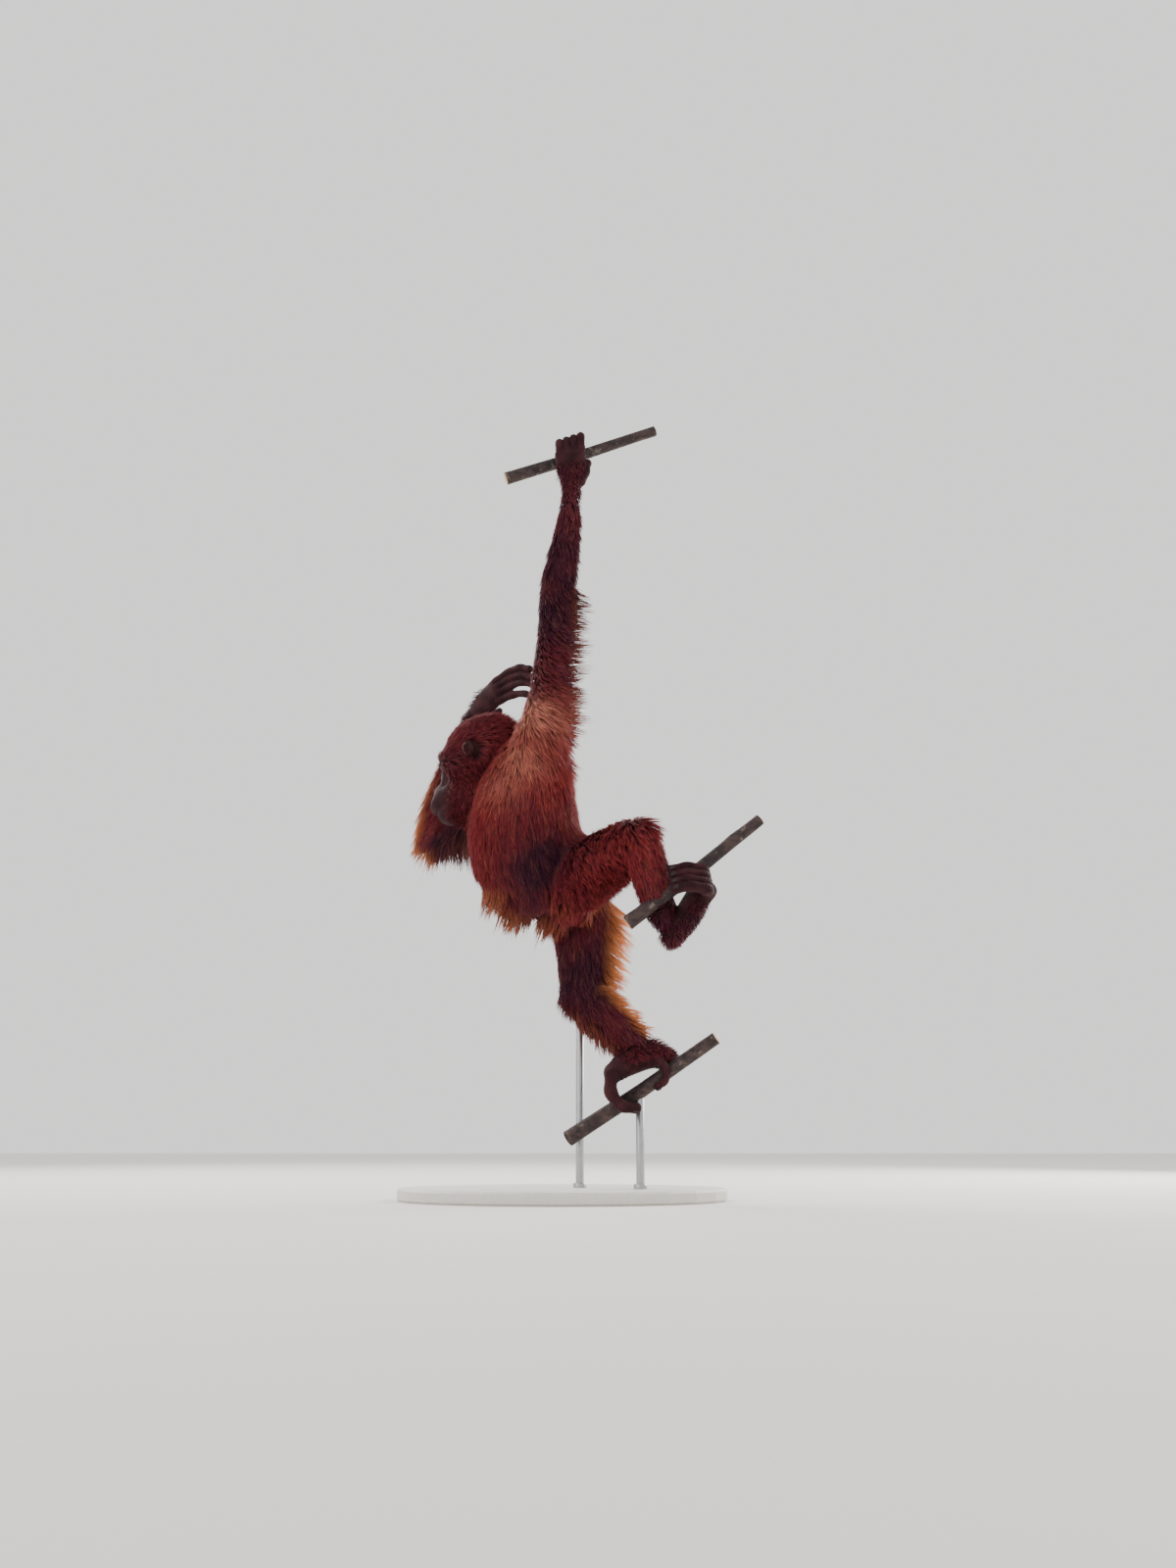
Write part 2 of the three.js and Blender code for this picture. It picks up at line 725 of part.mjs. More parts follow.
// Assembly: each node is cut clear of those before it
const group = new THREE.Group();
const finished = [];

function boxesMeet(a, b) {
  return [0, 1, 2].every((i) => a.min[i] - 1 < b.max[i] && b.min[i] - 1 < a.max[i]);
}

function addNode(name, solid, material, clearance = grown(solid)) {
  const cutters = finished.filter((other) => boxesMeet(solid.boundingBox(), other.boundingBox()));
  const cleared = largest(cutters.reduce((rest, cutter) => rest.subtract(cutter), solid));
  finished.push(clearance);
  const mesh = new THREE.Mesh(geometryOf(cleared), material);
  mesh.name = name;
  group.add(mesh);
}

const finish = (color, roughness, metalness = 0) =>
  new THREE.MeshStandardMaterial({ color, roughness, metalness });
const coatFinish = finish(0x8a3a1c, 0.9);
const skinFinish = finish(0x3a2a28, 0.7);
const eyeFinish = finish(0x1c0f0a, 0.15);
const barkFinish = finish(0x5d4c42, 0.9);
const baseFinish = finish(0xd8d4cc, 0.6);
const rodFinish = finish(0x9a9a9c, 0.35, 0.9);

for (const [name, perch] of Object.entries(perches)) addNode(`perch_${name}`, buildPerch(perch), barkFinish);
const eyes = [1, -1].map(buildEye);
addNode("eye_left", eyes[0], eyeFinish);
addNode("eye_right", eyes[1], eyeFinish);
const { head, clearance: headClearance } = buildHead(eyes);
addNode("head", head, coatFinish, headClearance);
addNode("ear_left", buildEar(1), skinFinish);
addNode("ear_right", buildEar(-1), skinFinish);
for (const [name, { palm, across, digits, names, radii, toeSide, depth }] of Object.entries(extremities)) {
  addNode(name, new Limb(palm, across, 10, 4).solid(), skinFinish);
  digits.forEach((points, i) => {
    const deep = toeSide && i > 0 ? digit(points, radii, toeSide, depth) : digit(points, radii, up);
    addNode(`${name}_${names[i]}`, deep, skinFinish);
  });
}
for (const [name, { limb, coat, fringe }] of Object.entries(flesh)) {
  const locks = coat ? limbLocks(limb, coat) : [];
  if (fringe) locks.push(...fringeLocks(limb, fringe));
  const { solid, clearance } = withLocks(limb.solid(), locks);
  addNode(name, solid, coatFinish, clearance);
}
addNode("stand_base", buildBase(), baseFinish);
addNode("stand_rod_knee", buildRod(34, 25, 400), rodFinish);
addNode("stand_rod_perch", buildRod(150, -50, 220), rodFinish);

export default group;
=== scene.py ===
import math

import bmesh
import bpy
import numpy as np
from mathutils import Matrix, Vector
from mathutils.kdtree import KDTree


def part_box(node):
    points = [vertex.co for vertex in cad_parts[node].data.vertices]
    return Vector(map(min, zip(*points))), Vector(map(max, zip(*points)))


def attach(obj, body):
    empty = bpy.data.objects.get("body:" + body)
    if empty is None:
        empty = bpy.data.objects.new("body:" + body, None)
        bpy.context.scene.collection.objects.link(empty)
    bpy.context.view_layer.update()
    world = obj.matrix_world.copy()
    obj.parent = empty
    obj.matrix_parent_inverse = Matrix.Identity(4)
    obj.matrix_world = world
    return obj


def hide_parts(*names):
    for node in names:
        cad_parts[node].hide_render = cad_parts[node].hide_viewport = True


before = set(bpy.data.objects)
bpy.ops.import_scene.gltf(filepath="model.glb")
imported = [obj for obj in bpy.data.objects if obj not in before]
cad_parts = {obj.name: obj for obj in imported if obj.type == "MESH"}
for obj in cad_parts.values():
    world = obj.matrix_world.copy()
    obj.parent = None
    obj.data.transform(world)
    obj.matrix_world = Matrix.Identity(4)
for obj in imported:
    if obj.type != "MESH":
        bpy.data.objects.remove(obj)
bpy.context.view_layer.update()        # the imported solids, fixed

# A young orangutan hanging by its left arm, in metres. The body is one skin made from limbs and a
# head, and the coat is tufts of mesh that follow the lie of the hair over it.

scene = bpy.context.scene
mm = 0.001
dice = np.random.default_rng(11)
up = np.array([0.0, 0.0, 1.0])
away = np.array([0.0, 1.0, 0.0])
farOff = 1e9


def unit(vectors):
    vectors = np.asarray(vectors, float)
    return vectors / np.maximum(np.linalg.norm(vectors, axis=-1, keepdims=True), 1e-12)


def smooth(low, high, value):
    t = np.clip((value - low) / (high - low), 0, 1)
    return t * t * (3 - 2 * t)


def dot(a, b):
    return (a * b).sum(-1)


# Limbs: oval rings along a curve through stations [x, y, z, half width, half depth] in mm

def curveAt(points, u):  # a centripetal curve through the points
    spans = len(points) - 1
    padded = np.vstack([2 * points[0] - points[1], points, 2 * points[-1] - points[-2]])
    place = min(max(u, 0), 1) * spans
    first = min(int(place), spans - 1)
    t = place - first
    p0, p1, p2, p3 = padded[first:first + 4]
    d0, d1, d2 = [max(np.linalg.norm(b - a), 1e-9) ** 0.5 for a, b in ((p0, p1), (p1, p2), (p2, p3))]
    if d0 < 1e-4 or d2 < 1e-4:
        d0 = d2 = d1
    m1 = ((p1 - p0) / d0 - (p2 - p0) / (d0 + d1) + (p2 - p1) / d1) * d1
    m2 = ((p2 - p1) / d1 - (p3 - p1) / (d1 + d2) + (p3 - p2) / d2) * d1
    return p1 + m1 * t + (-3 * p1 + 3 * p2 - 2 * m1 - m2) * t ** 2 + (2 * p1 - 2 * p2 + m1 + m2) * t ** 3


limbSizes = dict(samples=33, domeAngles=(72, 54, 36, 18), dome=0.85)


def makeLimb(stations, hint, samples=limbSizes["samples"]):
    stations = np.array(stations, float)
    steps = np.linspace(0, 1, samples)
    centre = np.array([curveAt(stations[:, :3], u) for u in steps]) * mm
    size = np.array([curveAt(stations[:, 3:], u) for u in steps]) * mm
    tangent = unit(np.gradient(centre, axis=0))
    hint = unit(hint)
    side = unit(hint - tangent * (tangent @ hint)[:, None])
    across = np.cross(tangent, side)
    length = np.linalg.norm(np.diff(centre, axis=0), axis=1).sum()
    return dict(centre=centre, wide=size[:, 0], deep=size[:, 1], tangent=tangent, side=side,
                across=across, length=length)


body = {  # every limb: its stations, hint, coat, fringes with their painted glow, and how deep its colour is from start to end, partly its own darker coat and partly painted shade
    "upperArmLeft": dict(
        stations=[(-60, -62, 872, 42, 48), (-44, -86, 925, 38, 41), (-38, -82, 985, 27, 29),
                  (-32, -76, 1060, 22, 23), (-25, -68, 1130, 22, 23), (-20, -62, 1187, 24, 25)],
        hint=(0, 1, 0), lie=-0.7, swirl=(0.8, 0.15, 0), hair=46, hang=0, rise=9, deep=(0.25, 1.0),
        fringes=[dict(toward=(0.98, 0.2, 0), span=(0.2, 1.1), out=50, sweep=2, paintedGlow=0.1)]),
    "forearmLeft": dict(
        stations=[(-20, -62, 1187, 25, 26), (-14, -58, 1235, 26, 27), (-4, -52, 1300, 23, 24),
                  (7, -46, 1372, 18, 18), (15, -42, 1440, 16, 16)],
        hint=(0, 1, 0), lie=-1, swirl=(0.25, 0, 0), hair=44, hang=0, rise=8, deep=(1.0, 0.8),
        fringes=[dict(toward=(1, 0, 0), span=(-0.2, 0.25), out=34, sweep=-14, paintedGlow=0.1)]),
    "upperArmRight": dict(
        stations=[(-40, 78, 852, 42, 42), (-78, 112, 862, 36, 36), (-140, 136, 826, 29, 31),
                  (-210, 160, 788, 26, 28), (-276, 186, 758, 25, 26)],
        hint=(0, 0, 1), lie=1, hair=50, hang=0.25, rise=10, deep=(0.5, 0.71), thick=1.9,
        crest=(-0.3, 0.1, -0.95),
        fringes=[dict(toward=(0, 0, -1), span=(0.2, 1.1), out=80, sweep=-10, paintedGlow=0.08)]),
    "forearmRight": dict(
        stations=[(-276, 186, 758, 25, 26), (-267, 172, 806, 27, 28), (-244, 148, 872, 25, 26),
                  (-218, 122, 936, 20, 21), (-197, 102, 985, 16, 17)],
        hint=(0, 1, 0), lie=-1, hair=48, hang=0, rise=11, deep=(0.3, 0.9),
        fringes=[dict(toward=(-0.8, 0.1, -0.59), span=(-0.1, 0.6), out=34, sweep=-52, paintedGlow=1)]),
    "thighLeft": dict(
        stations=[(20, -46, 622, 54, 54), (56, -92, 640, 50, 54), (98, -144, 661, 42, 46),
                  (140, -194, 681, 33, 36)],
        hint=(0, 0, 1), lie=0.55, hair=46, hang=0.7, rise=8, deep=(0.3, 0.3), fringes=[]),
    "shankLeft": dict(
        stations=[(143, -198, 682, 35, 34), (158, -199, 640, 32, 33), (176, -199, 576, 28, 30),
                  (188, -198, 526, 20, 23)],
        hint=(0, 1, 0), lie=1, hair=40, hang=0.1, rise=8, deep=(0.3, 0.9), fringes=[]),
    "thighRight": dict(
        stations=[(20, 66, 612, 50, 58), (32, 56, 556, 46, 55), (38, 42, 484, 38, 46),
                  (38, 27, 410, 33, 38)],
        hint=(0, 1, 0), lie=1, hair=48, hang=0.02, rise=10, deep=(0.7, 0.8),
        fringes=[dict(toward=(0.95, 0.3, 0), span=(0.1, 1.0), out=48, sweep=40, paintedGlow=1, edge=(0.42, 0.9))]),
    "shankRight": dict(
        stations=[(36, 25, 404, 35, 36), (62, 6, 378, 34, 35), (104, -22, 336, 27, 30),
                  (136, -44, 304, 20, 23)],
        hint=(0, 1, 0), lie=1, hair=42, hang=0.12, rise=9, deep=(0.85, 0.75),
        fringes=[dict(toward=(-0.6, 0, -0.8), span=(-0.1, 0.85), out=24, sweep=36, paintedGlow=0.12),
                 dict(toward=(0.6, 0.2, 0.77), span=(0.1, 1.0), out=14, sweep=34, paintedGlow=0.9)]),
    "pelvis": dict(
        stations=[(-30, -8, 694, 76, 54), (-6, -4, 655, 92, 74), (4, 0, 618, 88, 70),
                  (4, 2, 586, 58, 48)],
        hint=(0.47, -0.88, 0), lie=1, hair=48, hang=0.1, rise=9, deep=(0.45, 0.5),
        fringes=[dict(toward=(-0.5, 0, -0.86), span=(0.5, 1.4), out=40, sweep=16, paintedGlow=0.2,
                      edge=(0.7, 0.98))]),
    "torso": dict(
        stations=[(-70, -2, 916, 54, 34), (-76, -6, 878, 86, 62), (-78, -10, 838, 96, 80),
                  (-80, -13, 790, 100, 96), (-80, -14, 738, 102, 107), (-72, -12, 686, 98, 111),
                  (-64, -10, 646, 90, 101), (-58, -8, 618, 66, 74)],
        hint=(0.47, -0.88, 0), lie=1, hair=48, hang=0.05, rise=9, deep=(0.05, 0.7), crest=(0.35, 0.9, 0),
        fringes=[dict(toward=(-0.5, 0, -0.86), span=(0.85, 1.4), out=38, sweep=20, paintedGlow=0.28,
                      edge=(0.7, 0.98))]),
    "neck": dict(
        stations=[(-84, 8, 872, 56, 46), (-112, 14, 882, 52, 52), (-146, 20, 884, 50, 54)],
        hint=(0, 1, 0), lie=-1, hair=34, hang=0.3, rise=8, deep=(0.5, 0.6), fringes=[]),
}

fingerPath = [(13, -49, 1524), (12, -44, 1556), (12, -16, 1568), (12, 9, 1548), (13, 8, 1514)]
restPath = [(-139, 38, 1032), (-112, 10, 1044), (-86, -20, 1046), (-64, -42, 1036)]
toePath = [(272, -204, 584), (266, -240, 589), (236, -256, 592), (208, -250, 588)]
lowToePath = [(96, -58, 238), (94, -74, 204), (116, -82, 178), (144, -74, 174)]
extremities = {  # palm or sole, the first digit, then four digits stepped across a direction
    "handLeft": dict(palm=[(15, -43, 1440, 19, 15), (15, -48, 1482, 29, 14), (13, -50, 1522, 33, 12)],
                     across=(0.92, 0.1, 0.36), thumb=[(36, -46, 1462), (46, -44, 1484), (50, -40, 1508)],
                     digits=fingerPath, along=(0.92, 0.1, 0.36), steps=(24, 8, -8, -24),
                     spread=(0, 0, 0, 0), radii=(9.5, 7), back=(0, -1, 0)),
    "handRight": dict(palm=[(-197, 100, 984, 19, 15), (-172, 74, 1008, 28, 14), (-142, 42, 1030, 31, 12)],
                      across=(0.15, -0.1, -1), thumb=[(-180, 68, 976), (-160, 48, 976), (-134, 30, 986)],
                      digits=restPath, along=(0.2, -0.15, -1), steps=(23, 8, -7, -21),
                      spread=(8.5, 3, 1.5, 0), radii=(9, 6.5), back=(0.3, 0.9, 0.35)),
    "footLeft": dict(palm=[(206, -192, 486, 21, 19), (222, -194, 508, 26, 19), (248, -198, 548, 31, 19),
                           (270, -202, 580, 34, 17)],
                     across=(0.53, -0.77, -0.35),
                     thumb=[(222, -176, 524), (206, -184, 552), (204, -204, 572), (214, -220, 578)],
                     digits=toePath, along=(0.1, -0.55, -0.83), steps=(-25, -9, 8, 24),
                     spread=(0, 0, 0, 0), radii=(10.5, 8), back=(0.85, -0.35, -0.3), depth=1.3),
    "footRight": dict(palm=[(212, -48, 262, 21, 20), (178, -50, 275, 27, 25), (134, -54, 265, 31, 27),
                            (100, -56, 242, 34, 20)],
                      across=(0, 1, 0),
                      thumb=[(186, -72, 266), (200, -84, 244), (196, -84, 224), (182, -74, 214)],
                      digits=lowToePath, along=(0, 1, 0), steps=(-27, -10, 8, 25),
                      spread=(0, 0, 0, 0), radii=(10, 7), back=(-0.3, 0, 1), depth=1.4),
}
digitSizes = dict(samples=21, palmSamples=17, knuckle=0.07, slim=0.97, groove=1.6)
handReach = 190  # everything of a hand or foot is this near its middle, in mm

for settings in body.values():
    settings["limb"] = makeLimb(settings["stations"], settings["hint"])


def makeDigit(path, radii, hint, depth=1.0):
    path = np.array(path, float)
    thick = np.linspace(radii[0], radii[1], len(path))
    limb = makeLimb(np.column_stack([path, thick, thick * depth]), hint, digitSizes["samples"])
    turns = np.linspace(0, 2 * np.pi * (len(path) - 1), digitSizes["samples"])
    swell = 1 + digitSizes["knuckle"] * np.cos(turns)  # thicker at the joints
    for size in ("wide", "deep"):
        limb[size] = limb[size] * swell * digitSizes["slim"]
    return limb


palms = {}
digits = {}
for name, hand in extremities.items():
    palms[name] = makeLimb(hand["palm"], hand["across"], digitSizes["palmSamples"])
    along = unit(hand["along"])
    digits[name] = [makeDigit(hand["thumb"], hand["radii"], hand["across"])]
    for step, spread in zip(hand["steps"], hand["spread"]):
        path = [np.array(p) + along * (step + spread * k) for k, p in enumerate(hand["digits"])]
        flat = hand["along"] if "depth" in hand else hand["across"]
        digits[name].append(makeDigit(path, hand["radii"], flat, hand.get("depth", 1.0)))


def limbMesh(limb, sides, inset=0.0):
    turns = np.linspace(0, 2 * np.pi, sides, endpoint=False)
    rows = []
    last = len(limb["centre"]) - 1
    domes = [math.radians(a) for a in limbSizes["domeAngles"]]
    plan = [(0, math.cos(a), -math.sin(a)) for a in domes]
    plan += [(k, 1, 0) for k in range(last + 1)]
    plan += [(last, math.cos(a), math.sin(a)) for a in reversed(domes)]
    for k, scale, dome in plan:
        wide, deep = limb["wide"][k] - inset, limb["deep"][k] - inset
        ring = limb["centre"][k] + limb["tangent"][k] * dome * min(wide, deep) * limbSizes["dome"]
        ring = ring + scale * (np.cos(turns)[:, None] * limb["side"][k] * wide
                               + np.sin(turns)[:, None] * limb["across"][k] * deep)
        rows.append(ring)
    return closedTube(rows)


def closedTube(rows):
    sides = len(rows[0])
    verts = np.vstack(rows + [rows[0].mean(0)[None], rows[-1].mean(0)[None]])
    faces = []
    for i in range(len(rows) - 1):
        for j in range(sides):
            a, b = i * sides + j, i * sides + (j + 1) % sides
            faces.append((a, b, b + sides, a + sides))
    first, last = len(rows) * sides, (len(rows) - 1) * sides
    for j in range(sides):
        nextOne = (j + 1) % sides
        faces.append((first, nextOne, j))
        faces.append((first + 1, last + j, last + nextOne))
    return verts, faces


# Head: ovals that melt together, in the head's own axes (forward, left, crown) in mm

headHair = dict(length=26, rise=4.8, back=0.9, deep=0.6)
head = dict(centre=(-172, 24, 866), scale=1.05, turn=20, bow=21, lean=15)
heading = np.array([-math.cos(math.radians(head["turn"])), math.sin(math.radians(head["turn"])), 0])
forward = heading * math.cos(math.radians(head["bow"])) - up * math.sin(math.radians(head["bow"]))
level = np.cross(forward, np.cross(up, heading))
lean = math.radians(head["lean"])
crown = level * math.cos(lean) + np.cross(forward, level) * math.sin(lean)
headBasis = np.array([forward, np.cross(crown, forward), crown])  # rows are the axes

skullOvals = [  # centre, radii, how softly it melts into those before it
    ((-12, 0, 30), (76, 64, 62), 1), ((34, 0, -6), (44, 50, 58), 26), ((40, 36, 6), (22, 20, 26), 16),
    ((66, 0, -44), (46, 42, 36), 24), ((92, 0, -52), (26, 33, 15), 12), ((82, 0, -77), (25, 28, 14), 8),
    ((40, 0, -66), (50, 42, 34), 20), ((60, 18, 36), (12, 20, 9), 14), ((72, 0, 6), (14, 9, 20), 14),
    ((92, 8, -18), (11, 9, 8), 12)]
skullMiddle = np.array([16.0, 0, -6])
skullHollows = [((74, 27, 20), (15, 16, 13), 8), ((66, 40, -16), (12, 12, 16), 14)]
eyePlace = np.array([59.5, 26.5, 20])
eyeRadius = 11.5
lids = dict(thick=2.4, slit=(14, 1.5, -0.5), slitRadii=(8, 11.6, 5.3), soft=5, behind=1.2)
ears = dict(place=np.array([-10, 65, 4]), radii=(12, 8, 17), shell=(13, 9, 18), hollow=(3, 8, -1),
            hollowRadii=(7.5, 7, 11.5), soft=3, join=5)
mouth = dict(forward=(56, 74, 92, 108), height=(-71, -67.5, -65, -64.5), gap=0.5, depth=5, soft=3.5,
             corner=0.7)
nostrils = [((100, 6.5, -22), (10, 3.4, 3.6)), ((99, 10.5, -25), (9, 3.6, 2.4))]


def toHead(points):
    return ((points / mm) - np.array(head["centre"])) @ headBasis.T / head["scale"]


def fromHead(points):
    return (np.asarray(points, float) * head["scale"] @ headBasis + np.array(head["centre"])) * mm


def mirrored(points):  # both sides of the head onto its left side
    return np.column_stack([points[:, 0], np.abs(points[:, 1]), points[:, 2]])


def ovalDistance(points, centre, radii):
    q = mirrored(points) - np.array(centre, float)
    near = np.sqrt(((q / radii) ** 2).sum(1))
    slope = np.sqrt(((q / np.square(radii)) ** 2).sum(1))
    return np.where(slope > 1e-9, near * (near - 1) / np.maximum(slope, 1e-9), -min(radii))


def melt(a, b, soft):
    mix = np.maximum(soft - np.abs(a - b), 0) / soft
    return np.minimum(a, b) - mix * mix * soft / 4


def rollDistance(points, line, radius):  # a thin roll of flesh through points, on both sides
    q = mirrored(points)
    best = np.full(len(q), farOff)
    line = np.array(line, float)
    for a, b in zip(line[:-1], line[1:]):
        t = np.clip((q - a) @ (b - a) / ((b - a) @ (b - a)), 0, 1)
        best = np.minimum(best, np.linalg.norm(q - a - t[:, None] * (b - a), axis=1))
    return best - radius


def eyeDistance(points, more):  # a ball round the eye, larger than it by more
    return ovalDistance(points, eyePlace, (eyeRadius + more,) * 3)


def lidDistance(points):  # flesh over the eye, open in a slit
    slit = ovalDistance(points, eyePlace + lids["slit"], lids["slitRadii"])
    return -melt(-eyeDistance(points, lids["thick"]), slit, 1)


foldSink = 2  # how far a groove's roll stays under the skin
faceFolds = [  # grooves in the face: line, radius, softness
    ([(72, 8, -6), (84, 20, -12), (84, 32, -24), (72, 42, -42)], 1.6, 4),
    ([(76, 14, 4), (75, 24, 0), (66, 36, 1)], 1.3, 3), ([(77, 16, -3), (75, 27, -8), (64, 40, -8)], 1.2, 3),
    ([(112, 10, -44), (108, 24, -50), (94, 36, -54)], 1.2, 3),
    ([(104, 0, -26), (114, 0, -40)], 1.5, 3), ([(70, 2, 40), (72, 12, 34)], 1.2, 4)]
earFolds = [  # ridges in the ear: line and radius
    ([(-1, 70, -12), (1, 74, 0), (-4, 76, 12), (-14, 77, 19), (-23, 76, 12), (-25, 75, 0)], 2.6),
    ([(-6, 72, -6), (-8, 73, 2), (-14, 74, 8)], 1.8), ([(3, 68, -4), (4, 69, 2)], 2.4)]


def headDistance(points, detail=True):  # in mm, less than nought inside
    d = np.full(len(points), farOff)
    for centre, radii, soft in skullOvals:
        d = melt(d, ovalDistance(points, centre, radii), soft)
    for centre, radii, soft in skullHollows:
        d = -melt(-d, ovalDistance(points, centre, radii), soft)
    d = np.minimum(d, eyeDistance(points, -lids["behind"]))
    if not detail:
        return d
    ear = ovalDistance(points, ears["place"], ears["radii"])
    hollow = ovalDistance(points, ears["place"] + ears["hollow"], ears["hollowRadii"])
    ear = -melt(-ear, hollow, ears["soft"])
    for line, radius in earFolds:
        ear = melt(ear, rollDistance(points, line, radius), ears["soft"])
    d = melt(d, ear, ears["join"])
    d = melt(d, lidDistance(points), lids["soft"])
    for line, radius, soft in faceFolds:
        d = -melt(-d, rollDistance(points, line, radius - foldSink), soft)
    cut = np.maximum(mouthGap(points) - mouth["gap"], -mouth["depth"] - d)
    d = -melt(-d, cut, mouth["soft"])
    for nostril in nostrils:
        d = -melt(-d, ovalDistance(points, *nostril), 2)
    return d


def mouthGap(points):  # how far above or below the line of the mouth, in mm
    line = np.interp(points[:, 0], mouth["forward"], mouth["height"])
    behind = (mouth["forward"][0] - points[:, 0]) * mouth["corner"]
    return np.maximum(np.abs(points[:, 2] - line), behind)


def headShell(rings=60, sides=72):  # straight out from the middle to where the ovals end
    muzzle, top = unit((0.93, 0, -0.37)), unit((0.37, 0, 0.93))
    angles = np.linspace(0.03, np.pi - 0.03, rings)
    turns = np.linspace(0, 2 * np.pi, sides, endpoint=False)
    a, t = np.meshgrid(angles, turns, indexing="ij")
    out = (np.cos(a)[..., None] * muzzle + (np.sin(a) * np.cos(t))[..., None] * away
           + (np.sin(a) * np.sin(t))[..., None] * top).reshape(-1, 3)
    near, far = np.zeros(len(out)), np.full(len(out), 160.0)
    for _ in range(18):
        half = (near + far) / 2
        outside = headDistance(skullMiddle + out * half[:, None], False) > 0
        far, near = np.where(outside, half, far), np.where(outside, near, half)
    shell = fromHead(skullMiddle + out * near[:, None]).reshape(rings, sides, 3)
    return closedTube(list(shell[::-1]))


def earShell(side, rings=14, sides=18):
    rows = []
    t = np.linspace(0, 2 * np.pi, sides, endpoint=False)
    for a in np.linspace(0.2, np.pi - 0.2, rings):
        ring = np.column_stack([np.sin(a) * np.cos(t), np.full(sides, np.cos(a)), np.sin(a) * np.sin(t)])
        rows.append(fromHead(ring * ears["shell"] + ears["place"] * (1, side, 1)))
    return closedTube(rows if side < 0 else rows[::-1])


# Cut lengths of branch that the animal holds

branches = {
    "top": dict(middle=(15, -20, 1526), along=(0.92, 0.1, 0.36), radius=12, back=150, front=190,
                node="perch_top"),
    "middle": dict(middle=(241, -216, 600), along=(0.787, 0, 0.617), radius=12.5, back=150, front=170,
                   node="perch_middle"),
    "lower": dict(middle=(144, -50, 202), along=(0.8, -0.22, 0.53), radius=14, back=165, front=185,
                  node="perch_lower"),
}

# The skin: all the shells joined, remeshed as one and smoothed

skinSizes = dict(voxel=2.7, inset=1.6, softening=26, eachTime=0.6, leastSoft=0.06)
fitting = dict(rounds=4, probe=0.2, longest=3, flattest=0.25, eachTime=0.8)


def meshObject(name, verts, faces):
    mesh = bpy.data.meshes.new(name)
    mesh.from_pydata([tuple(v) for v in verts], [], faces)
    mesh.update()
    made = bpy.data.objects.new(name, mesh)
    scene.collection.objects.link(made)
    return made


def joinShells(name, shells):
    verts, faces, start = [], [], 0
    for shellVerts, shellFaces in shells:
        verts.append(shellVerts)
        faces += [tuple(i + start for i in face) for face in shellFaces]
        start += len(shellVerts)
    return meshObject(name, np.vstack(verts), faces)


def applyModifier(made, kind, **values):
    modifier = made.modifiers.new(kind, kind)
    for key, value in values.items():
        setattr(modifier, key, value)
    bpy.context.view_layer.objects.active = made
    bpy.ops.object.modifier_apply(modifier=modifier.name)


def vertsOf(mesh):
    co = np.empty(len(mesh.vertices) * 3, np.float32)
    mesh.vertices.foreach_get("co", co)
    return co.reshape(-1, 3).astype(float)


def setVerts(mesh, co):
    mesh.vertices.foreach_set("co", co.astype(np.float32).ravel())
    mesh.update()


def relax(mesh, rounds, amount):
    co = vertsOf(mesh)
    edges = np.empty(len(mesh.edges) * 2, np.int32)
    mesh.edges.foreach_get("vertices", edges)
    a, b = edges.reshape(-1, 2).T
    count = np.bincount(a, minlength=len(co)) + np.bincount(b, minlength=len(co))
    for _ in range(rounds):
        near = np.column_stack([np.bincount(a, co[b, k], len(co)) + np.bincount(b, co[a, k], len(co))
                                for k in range(3)]) / np.maximum(count, 1)[:, None]
        co += (near - co) * amount[:, None] * skinSizes["eachTime"]
    setVerts(mesh, co)


def toSurface(mesh, mask, distance):  # onto the place where a distance in mm is nought
    co = vertsOf(mesh)
    chosen = np.nonzero(mask > 0.01)[0]
    probe = fitting["probe"]
    q = co[chosen]
    for _ in range(fitting["rounds"]):
        d = distance(q)
        slope = np.column_stack([distance(q + step * mm) - d for step in np.eye(3) * probe]) / probe
        steep = np.maximum((slope ** 2).sum(1), fitting["flattest"])
        move = np.clip(d, -fitting["longest"], fitting["longest"]) / steep
        q = q - slope * move[:, None] * fitting["eachTime"] * mm
    co[chosen] += (q - co[chosen]) * mask[chosen, None]
    setVerts(mesh, co)


def faceSurface(points):
    return headDistance(toHead(points)) * head["scale"]


def handFields(points):  # for each hand and foot: its name, the points near it and how they lie on its palm
    for name in extremities:
        distance = np.linalg.norm(points - palms[name]["centre"].mean(0), axis=1)
        index = np.nonzero(distance < handReach * mm)[0]
        yield name, index, limbField(palms[name], points[index])


def handSurface(points):  # palms and digits with grooves between them
    nearest = np.full(len(points), farOff)
    for name, index, palm in handFields(points):
        d = palm["distance"] / mm
        for digit in digits[name]:
            d = melt(d, limbField(digit, points[index])["distance"] / mm, digitSizes["groove"])
        nearest[index] = np.minimum(nearest[index], d)
    return nearest


def handMask(points):
    mask = np.zeros(len(points))
    for name, index, palm in handFields(points):
        distance = palm["distance"]
        for digit in digits[name]:
            distance = np.minimum(distance, limbField(digit, points[index])["distance"])
        near = (1 - smooth(4 * mm, 8 * mm, distance)) * smooth(0.15, 0.5, palm["u"])
        mask[index] = np.maximum(mask[index], near)
    return mask


def headMask(points):
    q = toHead(points)
    inside = 1 - smooth(2.0, 9.0, np.abs(headDistance(q, False)))
    nearEar = 1 - smooth(20, 26, np.linalg.norm(mirrored(q) - ears["place"], axis=1))
    clear = np.full(len(points), farOff)
    for name in ("torso", "upperArmLeft", "upperArmRight", "neck"):
        clear = np.minimum(clear, limbField(body[name]["limb"], points)["distance"])
    return np.maximum(inside, nearEar) * smooth(2 * mm, 12 * mm, clear)


